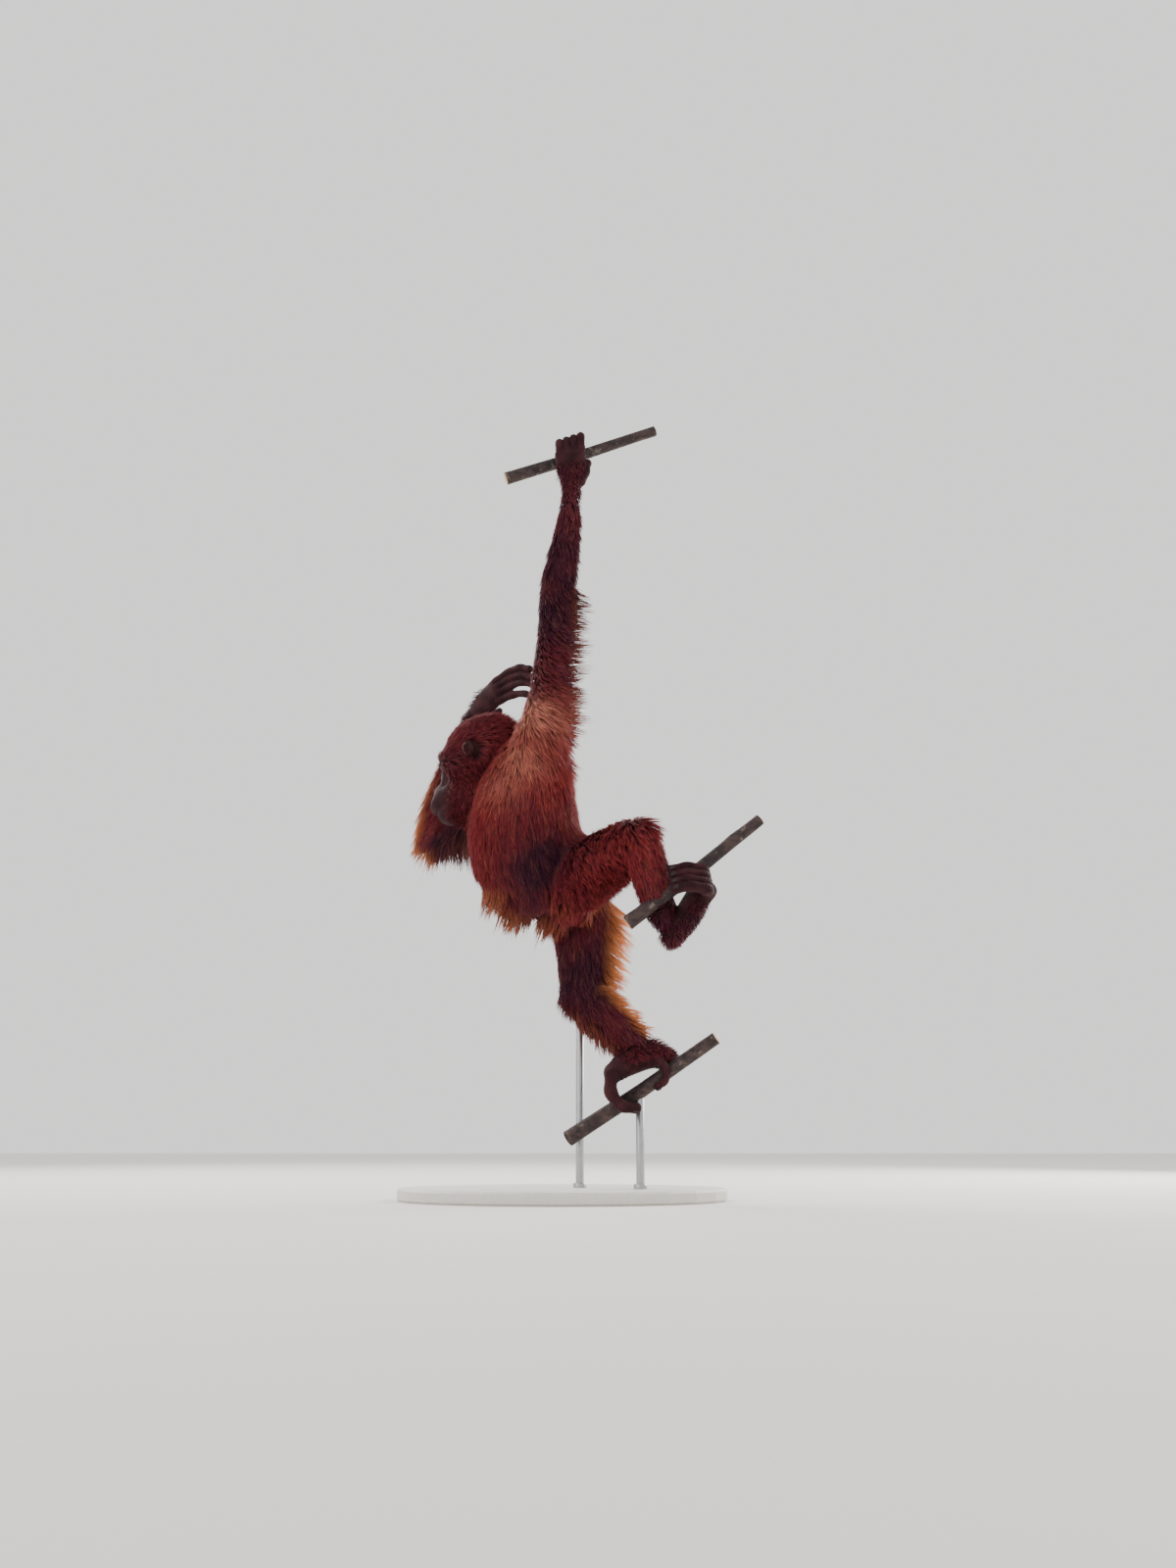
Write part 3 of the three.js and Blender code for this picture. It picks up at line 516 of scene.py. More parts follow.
def limbField(limb, points):  # where points lie on a limb: u, turn and distance off its skin
    best = np.empty(len(points), int)
    centre = limb["centre"]
    batch = 40000
    for start in range(0, len(points), batch):
        part = points[start:start + batch]
        best[start:start + batch] = ((centre ** 2).sum(1) - 2 * part @ centre.T).argmin(1)
    local = points - centre[best]
    along = dot(local, limb["tangent"][best])
    x = dot(local, limb["side"][best]) / limb["wide"][best]
    y = dot(local, limb["across"][best]) / limb["deep"][best]
    u = best / (len(centre) - 1) + along / limb["length"]
    girth = np.minimum(limb["wide"][best], limb["deep"][best])
    past = np.maximum(np.maximum(u - 1, -u), 0) * limb["length"] / girth
    distance = (np.sqrt(x * x + y * y + past * past) - 1) * girth
    return dict(u=u, turn=np.arctan2(y, x), distance=distance, tangent=limb["tangent"][best],
                radial=unit(limb["side"][best] * x[:, None] + limb["across"][best] * y[:, None]))


bareFace = dict(centre=(88, 0, -20), radii=(63, 53, 75), ear=(13, 20))
palmEdge = (4 * mm, 14 * mm)  # where the skin of a palm or a sole ends


def faceReach(points):  # 1 at the edge of the bare face, more outside it
    q = toHead(points)
    return np.sqrt((((q - bareFace["centre"]) / bareFace["radii"]) ** 2).sum(1))


def faceBare(points):  # 1 on the bare face, ears and lips, 0 under the coat
    q = toHead(points)
    fromEar = np.linalg.norm(mirrored(q) - ears["place"], axis=1)
    return np.maximum(1 - smooth(0.86, 1.1, faceReach(points)), 1 - smooth(*bareFace["ear"], fromEar))


def handBare(points):  # 1 on digits, palms and soles
    bare = np.zeros(len(points))
    for name, index, palm in handFields(points):
        near = 1 - smooth(*palmEdge, palm["distance"])
        hairy = smooth(-0.5, 0.2, palm["radial"] @ unit(extremities[name]["back"]))
        hairy = hairy * (1 - smooth(0.6, 1.0, palm["u"]))
        here = near * smooth(0.0, 0.4, palm["u"]) * (1 - hairy)
        for digit in digits[name]:
            nearDigit = limbField(digit, points[index])["distance"]
            here = np.maximum(here, 1 - smooth(2 * mm, 6 * mm, nearDigit))
        bare[index] = np.maximum(bare[index], here)
    return bare


def onPalm(points):  # 1 on hands and feet, hairy or not
    reach = np.zeros(len(points))
    for _, index, palm in handFields(points):
        near = 1 - smooth(*palmEdge, palm["distance"])
        reach[index] = np.maximum(reach[index], near * smooth(-0.5, -0.05, palm["u"]))
    return reach


markingAndShadeFade = 14 * mm  # how far one limb's colour goes over into the next
paintedShadeSpots = [  # painted shade added to the deep colour: centre, radius in mm, how much deeper
    ((-50, -118, 655), 60, 0.55), ((-20, -100, 700), 60, 0.3), ((30, 0, 480), 70, 0.3),
    ((-232, 130, 713), 60, 1.2), ((-175, 100, 760), 60, 0.6), ((12, -60, 975), 36, 0.6),
    ((4, -50, 1030), 40, 0.5), ((16, -50, 925), 28, 0.35)]
paleSpots = [  # the thin coat of the armpit: centre, radius, how much paler
    ((-58, -104, 945), 40, 1.0), ((-84, -100, 872), 44, 0.75), ((-112, -92, 826), 40, 0.45)]


def nearSpot(points, centre, radius):
    return np.exp(-((np.linalg.norm(points / mm - centre, axis=1) / radius) ** 2))


def markingsAndShade(points):  # deep colour, partly the coat's own darker colour and partly painted shade, and pale skin: the same for skin and coat
    total, deep, pale = np.zeros(len(points)), np.zeros(len(points)), np.zeros(len(points))
    for settings in body.values():
        field = limbField(settings["limb"], points)
        weight = np.exp(-np.clip(field["distance"], -0.02, 1) / markingAndShadeFade)
        start, end = settings["deep"]
        deep += weight * (start + (end - start) * np.clip(field["u"], 0, 1))
        total += weight
    fromHeadSkin = headDistance(toHead(points), False) * mm
    weight = np.exp(-np.clip(fromHeadSkin, -0.02, 1) / markingAndShadeFade)
    deep = (deep + weight * headHair["deep"]) / (total + weight)
    # painted shade on the flank, hip, throat and raised arm
    for centre, radius, amount in paintedShadeSpots:
        deep += amount * nearSpot(points, centre, radius)
    for centre, radius, amount in paleSpots:
        pale = np.maximum(pale, amount * nearSpot(points, centre, radius))
    return deep, pale


def creases(points):  # the shade between the lips and in the nostrils
    q = toHead(points)
    lips = (1 - smooth(0.4, 2.2, mouthGap(q))) * (q[:, 0] > 50) * (headDistance(q, False) > -8)
    hole = np.minimum.reduce([ovalDistance(q, *nostril) for nostril in nostrils])
    return np.maximum(lips, 1 - smooth(0.2, 1.6, hole))


def softPlaces(points):  # the paler lids and rims of the ears
    q = toHead(points)
    rim = 1 - smooth(0, 3, rollDistance(q, earFolds[0][0], 2.5))
    return np.maximum(rim, 0.75 * (1 - smooth(-3, 4, eyeDistance(q, lids["thick"]))))


def branchPlace(branch, points):  # level and upright distances from a branch's middle line, in mm
    along = unit(branch["along"])
    local = points / mm - np.array(branch["middle"])
    across = np.cross(along, away)
    return local @ away, local @ unit(across), local @ along


def pressIn(mesh, branch, limb):  # a limb behind a branch is pushed back where they touch
    co = vertsOf(mesh)
    level, upright, _ = branchPlace(branch, co)
    groove = branch["radius"] + 3
    touching = (limbField(limb, co)["distance"] < 6 * mm) & (np.abs(upright) < groove) & (handMask(co) < 0.1)
    room = np.sqrt(np.maximum(groove ** 2 - upright ** 2, 0)) - 2
    co[touching, 1] += np.clip(room - level, 0, 60)[touching] * mm * smooth(0, 4, room)[touching]
    setVerts(mesh, co)


def buildSkin():
    inset = skinSizes["inset"] * mm
    shells = [limbMesh(s["limb"], 40, inset) for s in body.values()]
    shells += [limbMesh(palm, 32) for palm in palms.values()]
    shells += [limbMesh(digit, 18) for group in digits.values() for digit in group]
    shells += [headShell(), earShell(1), earShell(-1)]
    skin = joinShells("skin", shells)
    applyModifier(skin, "REMESH", mode="VOXEL", voxel_size=skinSizes["voxel"] * mm, use_smooth_shade=True)
    co = vertsOf(skin.data)
    fine = np.maximum(handBare(co), headMask(co))
    relax(skin.data, skinSizes["softening"], np.clip(1 - fine, skinSizes["leastSoft"], 1))
    refineBare(skin)
    co = vertsOf(skin.data)
    toSurface(skin.data, headMask(co), faceSurface)
    toSurface(skin.data, handMask(co), handSurface)
    pressIn(skin.data, branches["middle"], body["shankLeft"]["limb"])
    skin.data.shade_smooth()
    return skin


def refineBare(skin):  # smaller faces on the bare face, hands and feet
    work = bmesh.new()
    work.from_mesh(skin.data)
    co = vertsOf(skin.data)
    fine = np.maximum(faceBare(co) * headMask(co), handMask(co))
    chosen = [e for e in work.edges if fine[e.verts[0].index] > 0.3 and fine[e.verts[1].index] > 0.3]
    bmesh.ops.subdivide_edges(work, edges=chosen, cuts=1, use_grid_fill=True)
    work.to_mesh(skin.data)
    work.free()


def addValues(mesh, **named):
    for name, values in named.items():
        mesh.attributes.new(name, "FLOAT", "POINT").data.foreach_set("value", values.astype(np.float32))


skin = buildSkin()
skinPoints = vertsOf(skin.data)
skinDeepAndShade, skinPale = markingsAndShade(skinPoints)
skinFace, skinHands = faceBare(skinPoints), handBare(skinPoints)
addValues(skin.data, deep=skinDeepAndShade, pale=skinPale, leather=skinHands, crease=creases(skinPoints),
          face=skinFace * (headDistance(toHead(skinPoints), False) < 14), soft=softPlaces(skinPoints))
print("skin", len(skin.data.vertices), "vertices")

# Coat: thin closed tufts over the skin

coat = dict(count=84000, width=2.3, sink=2.5, clump=0.28, fringeClump=0.55, clumpSize=14, wave=1.8,
            flyaway=0.1, flyLift=1.7, flyWidth=0.45, flyPaintedGlow=0.12, blend=16, headWidth=0.68, headCount=1.9,
            pieceLimit=8900, fewest=8, fringeFrom=0.3, sections=(0, 0.42, 0.8),
            fringeSections=(0, 0.3, 0.6, 0.85), profile=(0.8, 1.0, 0.55), fringeProfile=(0.75, 1.0, 0.8, 0.4))
shorter = dict(bare=0.62, face=0.45, hands=0.6, branch=0.72, nearBranch=(4, 32))  # what each place takes off
patchSize = 0.003  # metres of a tuft's place in the OFBake map


def triangleData(mesh):
    mesh.calc_loop_triangles()
    corners = np.empty(len(mesh.loop_triangles) * 3, np.int32)
    mesh.loop_triangles.foreach_get("vertices", corners)
    corners = corners.reshape(-1, 3)
    co = vertsOf(mesh)
    a, b, c = co[corners[:, 0]], co[corners[:, 1]], co[corners[:, 2]]
    normal = np.cross(b - a, c - a)
    area = np.linalg.norm(normal, axis=1) / 2
    vertexNormal = np.column_stack([np.bincount(corners.ravel(), np.repeat(normal[:, k], 3), len(co))
                                    for k in range(3)])
    return co, corners, area, unit(vertexNormal)


def ownersOf(points):  # the limb that each point belongs to, and the head
    names = list(body) + ["head"]
    distance = np.column_stack([limbField(body[n]["limb"], points)["distance"] for n in body]
                               + [headDistance(toHead(points), False) * head["scale"] * mm])
    return names, distance.argmin(1), distance


def headLie(points):
    q = toHead(points)
    y = q[:, 1]
    back = np.tile([-1.0, 0, 0.15], (len(q), 1))
    drop = np.column_stack([np.full(len(q), -0.3), 0.25 * np.sign(y), np.full(len(q), -1.0)])
    low = smooth(35, -25, q[:, 2])[:, None]
    lie = back * (1 - low) * headHair["back"] + drop * low
    return unit(lie @ headBasis)


def scatterRoots(mesh, count):  # more on the head and where a limb's coat is thick, none on bare skin
    co, corners, area, normals = triangleData(mesh)
    middle = co[corners].mean(1)
    bare = np.maximum(skinFace, skinHands)[corners].mean(1)
    pale = skinPale[corners].mean(1)
    weight = area * (1 - smooth(0.3, 0.7, bare)) * (1 - 0.35 * pale)
    weight *= np.where(headDistance(toHead(middle), False) < 6, coat["headCount"], 1)
    for settings in body.values():
        if "thick" in settings:
            onLimb = limbField(settings["limb"], middle)["distance"] < 8 * mm
            weight *= np.where(onLimb, settings["thick"], 1)
    chosen = dice.choice(len(area), count, p=weight / weight.sum())
    mixA, mixB = dice.random(count), dice.random(count)
    flip = mixA + mixB > 1
    mixA[flip], mixB[flip] = 1 - mixA[flip], 1 - mixB[flip]
    shares = np.column_stack([1 - mixA - mixB, mixA, mixB])[:, :, None]
    roots = (co[corners[chosen]] * shares).sum(1)
    return roots, unit((normals[corners[chosen]] * shares).sum(1))


def limbLie(settings, roots, normals):  # which way one limb's coat lies, its painted glow and how much is fringe
    field = limbField(settings["limb"], roots)
    paintedGlow, fringed = np.zeros(len(roots)), np.zeros(len(roots))
    way = field["tangent"] * settings["lie"]
    into = dot(way, normals)
    crest = np.array(settings["crest"]) if "crest" in settings else field["radial"]
    way = way - normals * into[:, None] + crest * smooth(0.2, 0.9, -into)[:, None]
    swirl = np.array(settings.get("swirl", (0, 0, 0)))
    reach = (way - up * settings["hang"] + swirl) * (settings["hair"] * mm)
    for fringe in settings["fringes"]:
        toward = unit(fringe["toward"])
        low, high = fringe["span"]
        inside = smooth(low - 0.08, low + 0.08, field["u"])
        inside = inside * (1 - smooth(high - 0.08, high + 0.08, field["u"]))
        inside = inside * smooth(*fringe.get("edge", (0.35, 0.85)), normals @ toward)
        swept = toward * fringe["out"] * mm + field["tangent"] * fringe["sweep"] * mm
        reach = reach + (swept - reach) * inside[:, None]
        paintedGlow += inside * fringe["paintedGlow"]
        fringed += inside
    return reach, paintedGlow, fringed


def lieOfCoat(roots, normals):  # how far and which way each tuft reaches, and how much painted glow its tip gets
    names, owner, distance = ownersOf(roots)
    weight = np.exp(-(distance - distance.min(1, keepdims=True)) / (coat["blend"] * mm))
    weight /= weight.sum(1, keepdims=True)
    offset = np.zeros_like(roots)
    lift, paintedGlow, fringed = np.zeros(len(roots)), np.zeros(len(roots)), np.zeros(len(roots))
    for k, name in enumerate(names):
        share = weight[:, k]
        if name == "head":
            offset += headLie(roots) * headHair["length"] * mm * share[:, None]
            lift += headHair["rise"] * mm * share
            continue
        reach, limbPaintedGlow, limbFringe = limbLie(body[name], roots, normals)
        offset += reach * share[:, None]
        lift += body[name]["rise"] * mm * share
        paintedGlow += limbPaintedGlow * share
        fringed += limbFringe * share
    return names, owner, offset, lift, paintedGlow, fringed


def surfaceDistance(points):
    nearest = headDistance(toHead(points), False) * head["scale"] * mm
    for settings in body.values():
        nearest = np.minimum(nearest, limbField(settings["limb"], points)["distance"])
    return nearest


def tuftLengths(roots, fringe):  # shorter at the edge of bare skin and where a branch presses
    count = len(roots)
    bare = np.maximum(faceBare(roots), handBare(roots))
    length = dice.uniform(0.72, 1.18, count) * (1 - shorter["bare"] * smooth(0.05, 0.5, bare))
    length *= 1 + fringe * dice.uniform(-0.5, 0.3, count)
    length *= 1 - shorter["face"] * (1 - smooth(1.0, 1.5, faceReach(roots)))
    length *= 1 - shorter["hands"] * onPalm(roots)
    near, far = shorter["nearBranch"]
    for branch in branches.values():
        level, upright, along = branchPlace(branch, roots)
        reach = np.hypot(level, upright) + np.maximum(np.abs(along) - branch["front"], 0)
        length *= 1 - shorter["branch"] * (1 - smooth(branch["radius"] + near, branch["radius"] + far, reach))
    return length


def tuftPaths(roots, normals, offset, lift, fringe, sections):
    count = len(roots)
    flat = offset - normals * np.minimum(dot(offset, normals), 0)[:, None]
    length = tuftLengths(roots, fringe)
    fly = dice.random(count) < coat["flyaway"]
    lift = lift * dice.uniform(0.45, 1.15, count) * np.where(fly, coat["flyLift"], 1)
    sideways = unit(np.cross(flat, normals))
    lean = dice.normal(0, 0.13, count) * np.linalg.norm(flat, axis=1)
    steps = np.array(list(sections) + [1.0])
    paths = np.empty((count, len(steps), 3))
    for k, t in enumerate(steps):
        reach = flat * (length * t)[:, None] + sideways * (lean * t * t)[:, None]
        paths[:, k] = roots + reach + normals * (lift * (1.5 * t - 0.5 * t * t) * np.sqrt(length))[:, None]
    for k in range(1, len(steps)):  # clear of the body all the way
        want = lift * steps[k] * 0.7
        short = np.clip(want - surfaceDistance(paths[:, k]), 0, 30 * mm)
        paths[:, k] += normals * short[:, None] * 0.9
    paths[:, 0] -= normals * coat["sink"] * mm
    return paths, sideways, fly, length


def clumpPaths(paths, owner, sideways, steps, tight, length):  # each tuft drawn to its clump's leader
    count = len(paths)
    leaders = dice.choice(count, count // coat["clumpSize"], replace=False)
    tree = KDTree(len(leaders))
    for k, leader in enumerate(leaders):
        tree.insert(paths[leader, 1], k)
    tree.balance()
    lead = leaders[np.array([tree.find(p)[1] for p in paths[:, 1]])]
    phase = dice.random(count)[lead] * 2 * np.pi
    hold = coat["clump"] + (coat["fringeClump"] - coat["clump"]) * tight
    for k in range(1, len(steps)):
        t = steps[k]
        pull = hold * t ** 1.5 * (owner[lead] == owner) * np.minimum(length, 1)
        paths[:, k] += (paths[lead, k] - paths[:, k]) * pull[:, None]
        wave = np.sin(phase + t * 4.5) - np.sin(phase)
        paths[:, k] += sideways * (wave * coat["wave"] * mm * t * length ** 2)[:, None]
    return lead


def tuftMesh(name, paths, normals, width, values, anchor, sections, profile):
    count, ringCount = len(paths), len(sections)
    verts = np.empty((count, ringCount * 3 + 1, 3))
    for k in range(ringCount):
        before, after = paths[:, max(k - 1, 0)], paths[:, k + 1]
        heading = unit(after - before)
        side = unit(np.cross(heading, normals))
        rise = np.cross(side, heading)
        half = (width * profile[k] / 2)[:, None]
        verts[:, 3 * k] = paths[:, k] - side * half - rise * half * 0.35
        verts[:, 3 * k + 1] = paths[:, k] + rise * half * 0.45
        verts[:, 3 * k + 2] = paths[:, k] + side * half - rise * half * 0.35
    verts[:, -1] = paths[:, -1]
    faces, patch = tuftFaces(ringCount, list(sections))
    size = ringCount * 3 + 1
    allFaces = (faces[None] + np.arange(count)[:, None, None] * size).reshape(-1, 3)
    mesh = bpy.data.meshes.new(name)
    mesh.vertices.add(count * size)
    mesh.vertices.foreach_set("co", verts.astype(np.float32).ravel())
    mesh.loops.add(allFaces.size)
    mesh.loops.foreach_set("vertex_index", allFaces.astype(np.int32).ravel())
    mesh.polygons.add(len(allFaces))
    mesh.polygons.foreach_set("loop_start", np.arange(0, allFaces.size, 3, dtype=np.int32))
    mesh.polygons.foreach_set("use_smooth", np.ones(len(allFaces), bool))
    mesh.update(calc_edges=True)
    spots = anchor[:, None] + (patch.reshape(1, -1, 2) - 0.5) * patchSize
    mesh.uv_layers.new(name="OFBake").data.foreach_set("uv", spots.astype(np.float32).ravel())
    along = np.array([t for t in sections for _ in range(3)] + [1.0])
    addValues(mesh, along=np.tile(along, count),
              **{key: np.repeat(each, size) for key, each in values.items()})
    made = bpy.data.objects.new(name, mesh)
    scene.collection.objects.link(made)
    return made


def tuftFaces(ringCount, sections):  # a tuft's triangles, and where each lies in its patch
    faces, patch = [(0, 1, 2)], [[(0.4, 0), (0.5, 0), (0.6, 0)]]
    steps = sections + [1.0]
    for k in range(ringCount - 1):
        low, high = steps[k], steps[k + 1]
        for c in range(3):
            a, b = 3 * k + c, 3 * k + (c + 1) % 3
            left, right = c / 3, (c + 1) / 3
            faces += [(a, a + 3, b), (b, a + 3, b + 3)]
            patch += [[(left, low), (left, high), (right, low)], [(right, low), (left, high), (right, high)]]
    tip, last = ringCount * 3, 3 * (ringCount - 1)
    for c in range(3):
        faces.append((last + c, tip, last + (c + 1) % 3))
        patch.append([(c / 3, steps[-2]), ((c + 0.5) / 3, 1), ((c + 1) / 3, steps[-2])])
    return np.array(faces), np.array(patch)


def anchorsOf(name, roots):  # a place for each root on its limb's skin laid out flat
    if name == "head":
        q = toHead(roots) - skullMiddle
        across = np.arctan2(q[:, 1], q[:, 0])
        high = np.arccos(np.clip(unit(q)[:, 2], -1, 1)) / np.pi
    else:
        field = limbField(body[name]["limb"], roots)
        across = field["turn"]
        high = np.clip(field["u"], -0.25, 1.25) / 1.5 + 1 / 6
    return 0.01 + np.column_stack([across / (2 * np.pi) + 0.5, high]) * 0.98


def coatLayer(names, ending, sections, profile, roots, normals, owner, offset, lift, paintedGlow, fringe):
    count = len(roots)
    paths, sideways, fly, length = tuftPaths(roots, normals, offset, lift, fringe, sections)
    lead = clumpPaths(paths, owner, sideways, list(sections) + [1.0], fringe, length)
    width = coat["width"] * mm * dice.uniform(0.65, 1.25, count) * np.where(fly, coat["flyWidth"], 1)
    width *= (0.45 + 0.55 * length) * (1 - 0.25 * fringe)
    width *= np.where(owner == names.index("head"), coat["headWidth"], 1)
    tone = 0.5 + 0.168 * dice.standard_normal(count) + 0.3 * (dice.random(count)[lead] - 0.5)
    deep, pale = markingsAndShade(roots)
    values = dict(tone=np.clip(tone, 0, 1), deep=deep, pale=pale,
                  paintedGlow=np.clip(paintedGlow + coat["flyPaintedGlow"] * fly, 0, 1))
    pieces = []
    for k, name in enumerate(names):
        mine = np.nonzero(owner == k)[0]
        if len(mine) < coat["fewest"]:
            continue
        halves = [mine]
        if len(mine) > coat["pieceLimit"]:  # its front and its back
            depth = dot(roots[mine], away)
            halves = [mine[depth <= np.median(depth)], mine[depth > np.median(depth)]]
        for part, index in enumerate(halves):
            label = f"coat_{name}{ending}" + (f"_{part + 1}" if len(halves) > 1 else "")
            chosen = {key: each[index] for key, each in values.items()}
            pieces.append(tuftMesh(label, paths[index], normals[index], width[index], chosen,
                                   anchorsOf(name, roots[index]), sections, profile))
    return pieces


def buildCoat():
    roots, normals = scatterRoots(skin.data, coat["count"])
    names, *lie = lieOfCoat(roots, normals)
    fringed = lie[-1] >= coat["fringeFrom"]
    layers = (("", ~fringed, coat["sections"], coat["profile"]),
              ("_fringe", fringed, coat["fringeSections"], coat["fringeProfile"]))
    pieces = []
    for ending, chosen, sections, profile in layers:
        pieces += coatLayer(names, ending, sections, profile, roots[chosen], normals[chosen],
                            *(values[chosen] for values in lie))
    return pieces


coatPieces = buildCoat()
print("coat", len(coatPieces), "pieces", sum(len(p.data.polygons) for p in coatPieces), "triangles",
      max(len(p.data.polygons) for p in coatPieces), "in the largest")

# Eyes and nails

eyeSizes = dict(slim=0.99, outward=0.12, down=0.12, bulge=0.9, bulgeAngle=32)
nailSizes = dict(length=6.2, width=4.4, thickness=1.3, sunk=0.92)


def ballMesh(name, spots, radii, segments, rings):  # ovals at spots, each with its own axes
    shells = []
    t = np.linspace(0, 2 * np.pi, segments, endpoint=False)
    for centre, axes in spots:
        rows = []
        for a in np.linspace(np.pi / rings, np.pi - np.pi / rings, rings - 1):
            ring = np.column_stack([np.full(segments, np.cos(a)), np.sin(a) * np.cos(t),
                                    np.sin(a) * np.sin(t)])
            rows.append(centre + (ring * radii) @ axes)
        shells.append(closedTube(rows[::-1]))
    made = joinShells(name, shells)
    made.data.shade_smooth()
    return made


def buildEyes():
    eyes = []
    radius = eyeRadius * head["scale"] * mm
    for side, name in ((1, "eye_ball_left"), (-1, "eye_ball_right")):
        centre = fromHead(eyePlace * (1, side, 1))
        gaze = unit(np.array([1, eyeSizes["outward"] * side, -eyeSizes["down"]]) @ headBasis)
        across = unit(np.cross(up, gaze))
        axes = np.array([gaze, across, np.cross(gaze, across)])
        eye = ballMesh(name, [(centre, axes)], np.array([radius] * 3) * eyeSizes["slim"], 40, 28)
        local = (vertsOf(eye.data) - centre) @ axes.T / radius
        ringed = np.degrees(np.arccos(np.clip(unit(local)[:, 0], -1, 1)))
        addValues(eye.data, iris=ringed)
        bulge = (1 - smooth(0, eyeSizes["bulgeAngle"], ringed)) * eyeSizes["bulge"] * mm
        setVerts(eye.data, vertsOf(eye.data) + gaze * bulge[:, None])
        eyes.append(eye)
    return eyes


def buildNails():
    spots = []
    for name in extremities:
        for digit in digits[name]:
            line, k = digit["centre"], len(digit["centre"]) - 2
            tangent = digit["tangent"][k]
            bend = line[-1] - 2 * line[-7] + line[-13]
            if np.linalg.norm(bend) > 2 * mm:
                dorsal = -unit(bend)
            else:  # a straight digit's nail faces as the back of its hand does
                dorsal = limbField(palms[name], line[-1:])["radial"][0]
            dorsal = unit(dorsal - tangent * (dorsal @ tangent))
            axes = np.array([tangent, np.cross(dorsal, tangent), dorsal])
            reach = 1 / math.hypot(dorsal @ digit["side"][k] / digit["wide"][k],
                                   dorsal @ digit["across"][k] / digit["deep"][k])
            spots.append((line[k] + dorsal * reach * nailSizes["sunk"], axes))
    radii = np.array([nailSizes["length"], nailSizes["width"], nailSizes["thickness"]]) * mm
    return ballMesh("nails", spots, radii, 14, 9)


eyes = buildEyes()
nails = buildNails()
print("eyes and nails", len(nails.data.vertices), "vertices")

# Branches

barkSizes = dict(samples=121, sides=40, taper=0.12, bend=(0.02, 0.05, 0.06), bendShare=0.4, slim=0.985,
                 ridges=7, ridge=0.5, knots=5, knot=1.6, depth=0.7, cutSteps=(0.93, 0.7, 0.4, 0.15),
                 cutRound=0.6)


def buildBranch(name, settings):
    along = unit(settings["along"])
    stations = []
    for s in (-1, -0.5, 0, 0.5, 1):
        reach = (settings["back"] if s < 0 else settings["front"]) * s
        bent = np.array(barkSizes["bend"]) * abs(reach) * barkSizes["bendShare"]
        thick = settings["radius"] * (1 - barkSizes["taper"] * s)
        stations.append((*(np.array(settings["middle"], float) + along * reach + bent), thick, thick))
    limb = makeLimb(stations, up, barkSizes["samples"])
    sides = barkSizes["sides"]
    turns = np.linspace(0, 2 * np.pi, sides, endpoint=False)
    knots = dice.random((barkSizes["knots"], 2)) * (1, 2 * np.pi)
    rows = []
    last = len(limb["centre"]) - 1
    for k in range(last + 1):
        u = k / last
        ridges = np.sin(turns * barkSizes["ridges"] + 9 * u) * 0.4 + dice.normal(0, 0.3, sides)
        relief = barkSizes["ridge"] * ridges
        for place, angle in knots:
            turnGap = np.abs((turns - angle + np.pi) % (2 * np.pi) - np.pi)
            relief = relief + barkSizes["knot"] * np.exp(-((u - place) * 22) ** 2 - (turnGap * 1.6) ** 2)
        radius = limb["wide"][k] * barkSizes["slim"] + relief * mm * barkSizes["depth"]
        spokes = np.cos(turns)[:, None] * limb["side"][k] + np.sin(turns)[:, None] * limb["across"][k]
        rows.append(limb["centre"][k] + radius[:, None] * spokes)
    for end, order in ((0, -1), (last, 1)):  # the sawn ends, slightly domed
        centre = limb["centre"][end]
        edge = rows[0] if order < 0 else rows[-1]
        bulge = limb["tangent"][end] * order * barkSizes["cutRound"] * mm
        for scale in barkSizes["cutSteps"]:
            ring = centre + (edge - centre) * scale + bulge
            rows = [ring] + rows if order < 0 else rows + [ring]
    branch = meshObject(f"branch_{name}", *closedTube(rows))
    co = vertsOf(branch.data)
    field = limbField(limb, co)
    past = np.maximum(-field["u"], field["u"] - 1) * limb["length"] / mm
    nearEnd = limb["centre"][np.where(field["u"] < 0.5, 0, last)]
    addValues(branch.data, cutFace=np.clip(past * 3, 0, 1), ringRadius=np.linalg.norm(co - nearEnd, axis=1))
    branch.data.shade_smooth()
    return branch


branchPieces = {name: buildBranch(name, settings) for name, settings in branches.items()}
print("branches", len(branchPieces))

# Stand: the rods are turned smooth, the base keeps its solid

rods = ("stand_rod_knee", "stand_rod_perch")
rodSizes = dict(radius=8, collar=13, collarHeight=9, bevel=1.2, foot=24, sides=48)


def buildRod(name):  # a collar with a bevelled edge, and the rod up to its bevelled top
    low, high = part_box(name)
    x, y = (low.x + high.x) / 2, (low.y + high.y) / 2
    radius, collar, tall = rodSizes["radius"], rodSizes["collar"], rodSizes["collarHeight"]
    foot = max(low.z / mm, rodSizes["foot"])
    top = high.z / mm
    profile = [(collar, foot), (collar, foot + tall * 0.8), (collar - rodSizes["bevel"], foot + tall),
               (radius, foot + tall + 0.5), (radius, foot + 30), (radius, top - 2), (radius - 1, top - 0.5)]
    turns = np.linspace(0, 2 * np.pi, rodSizes["sides"], endpoint=False)
    rows = [np.column_stack([x + np.cos(turns) * r * mm, y + np.sin(turns) * r * mm,
                             np.full(len(turns), z * mm)]) for r, z in profile]
    made = meshObject(name.replace("stand_", "") + "_turned", *closedTube(rows))
    made.data.shade_smooth()
    applyModifier(made, "EDGE_SPLIT", split_angle=math.radians(40))
    return made


rodPieces = {name: buildRod(name) for name in rods}

# Materials


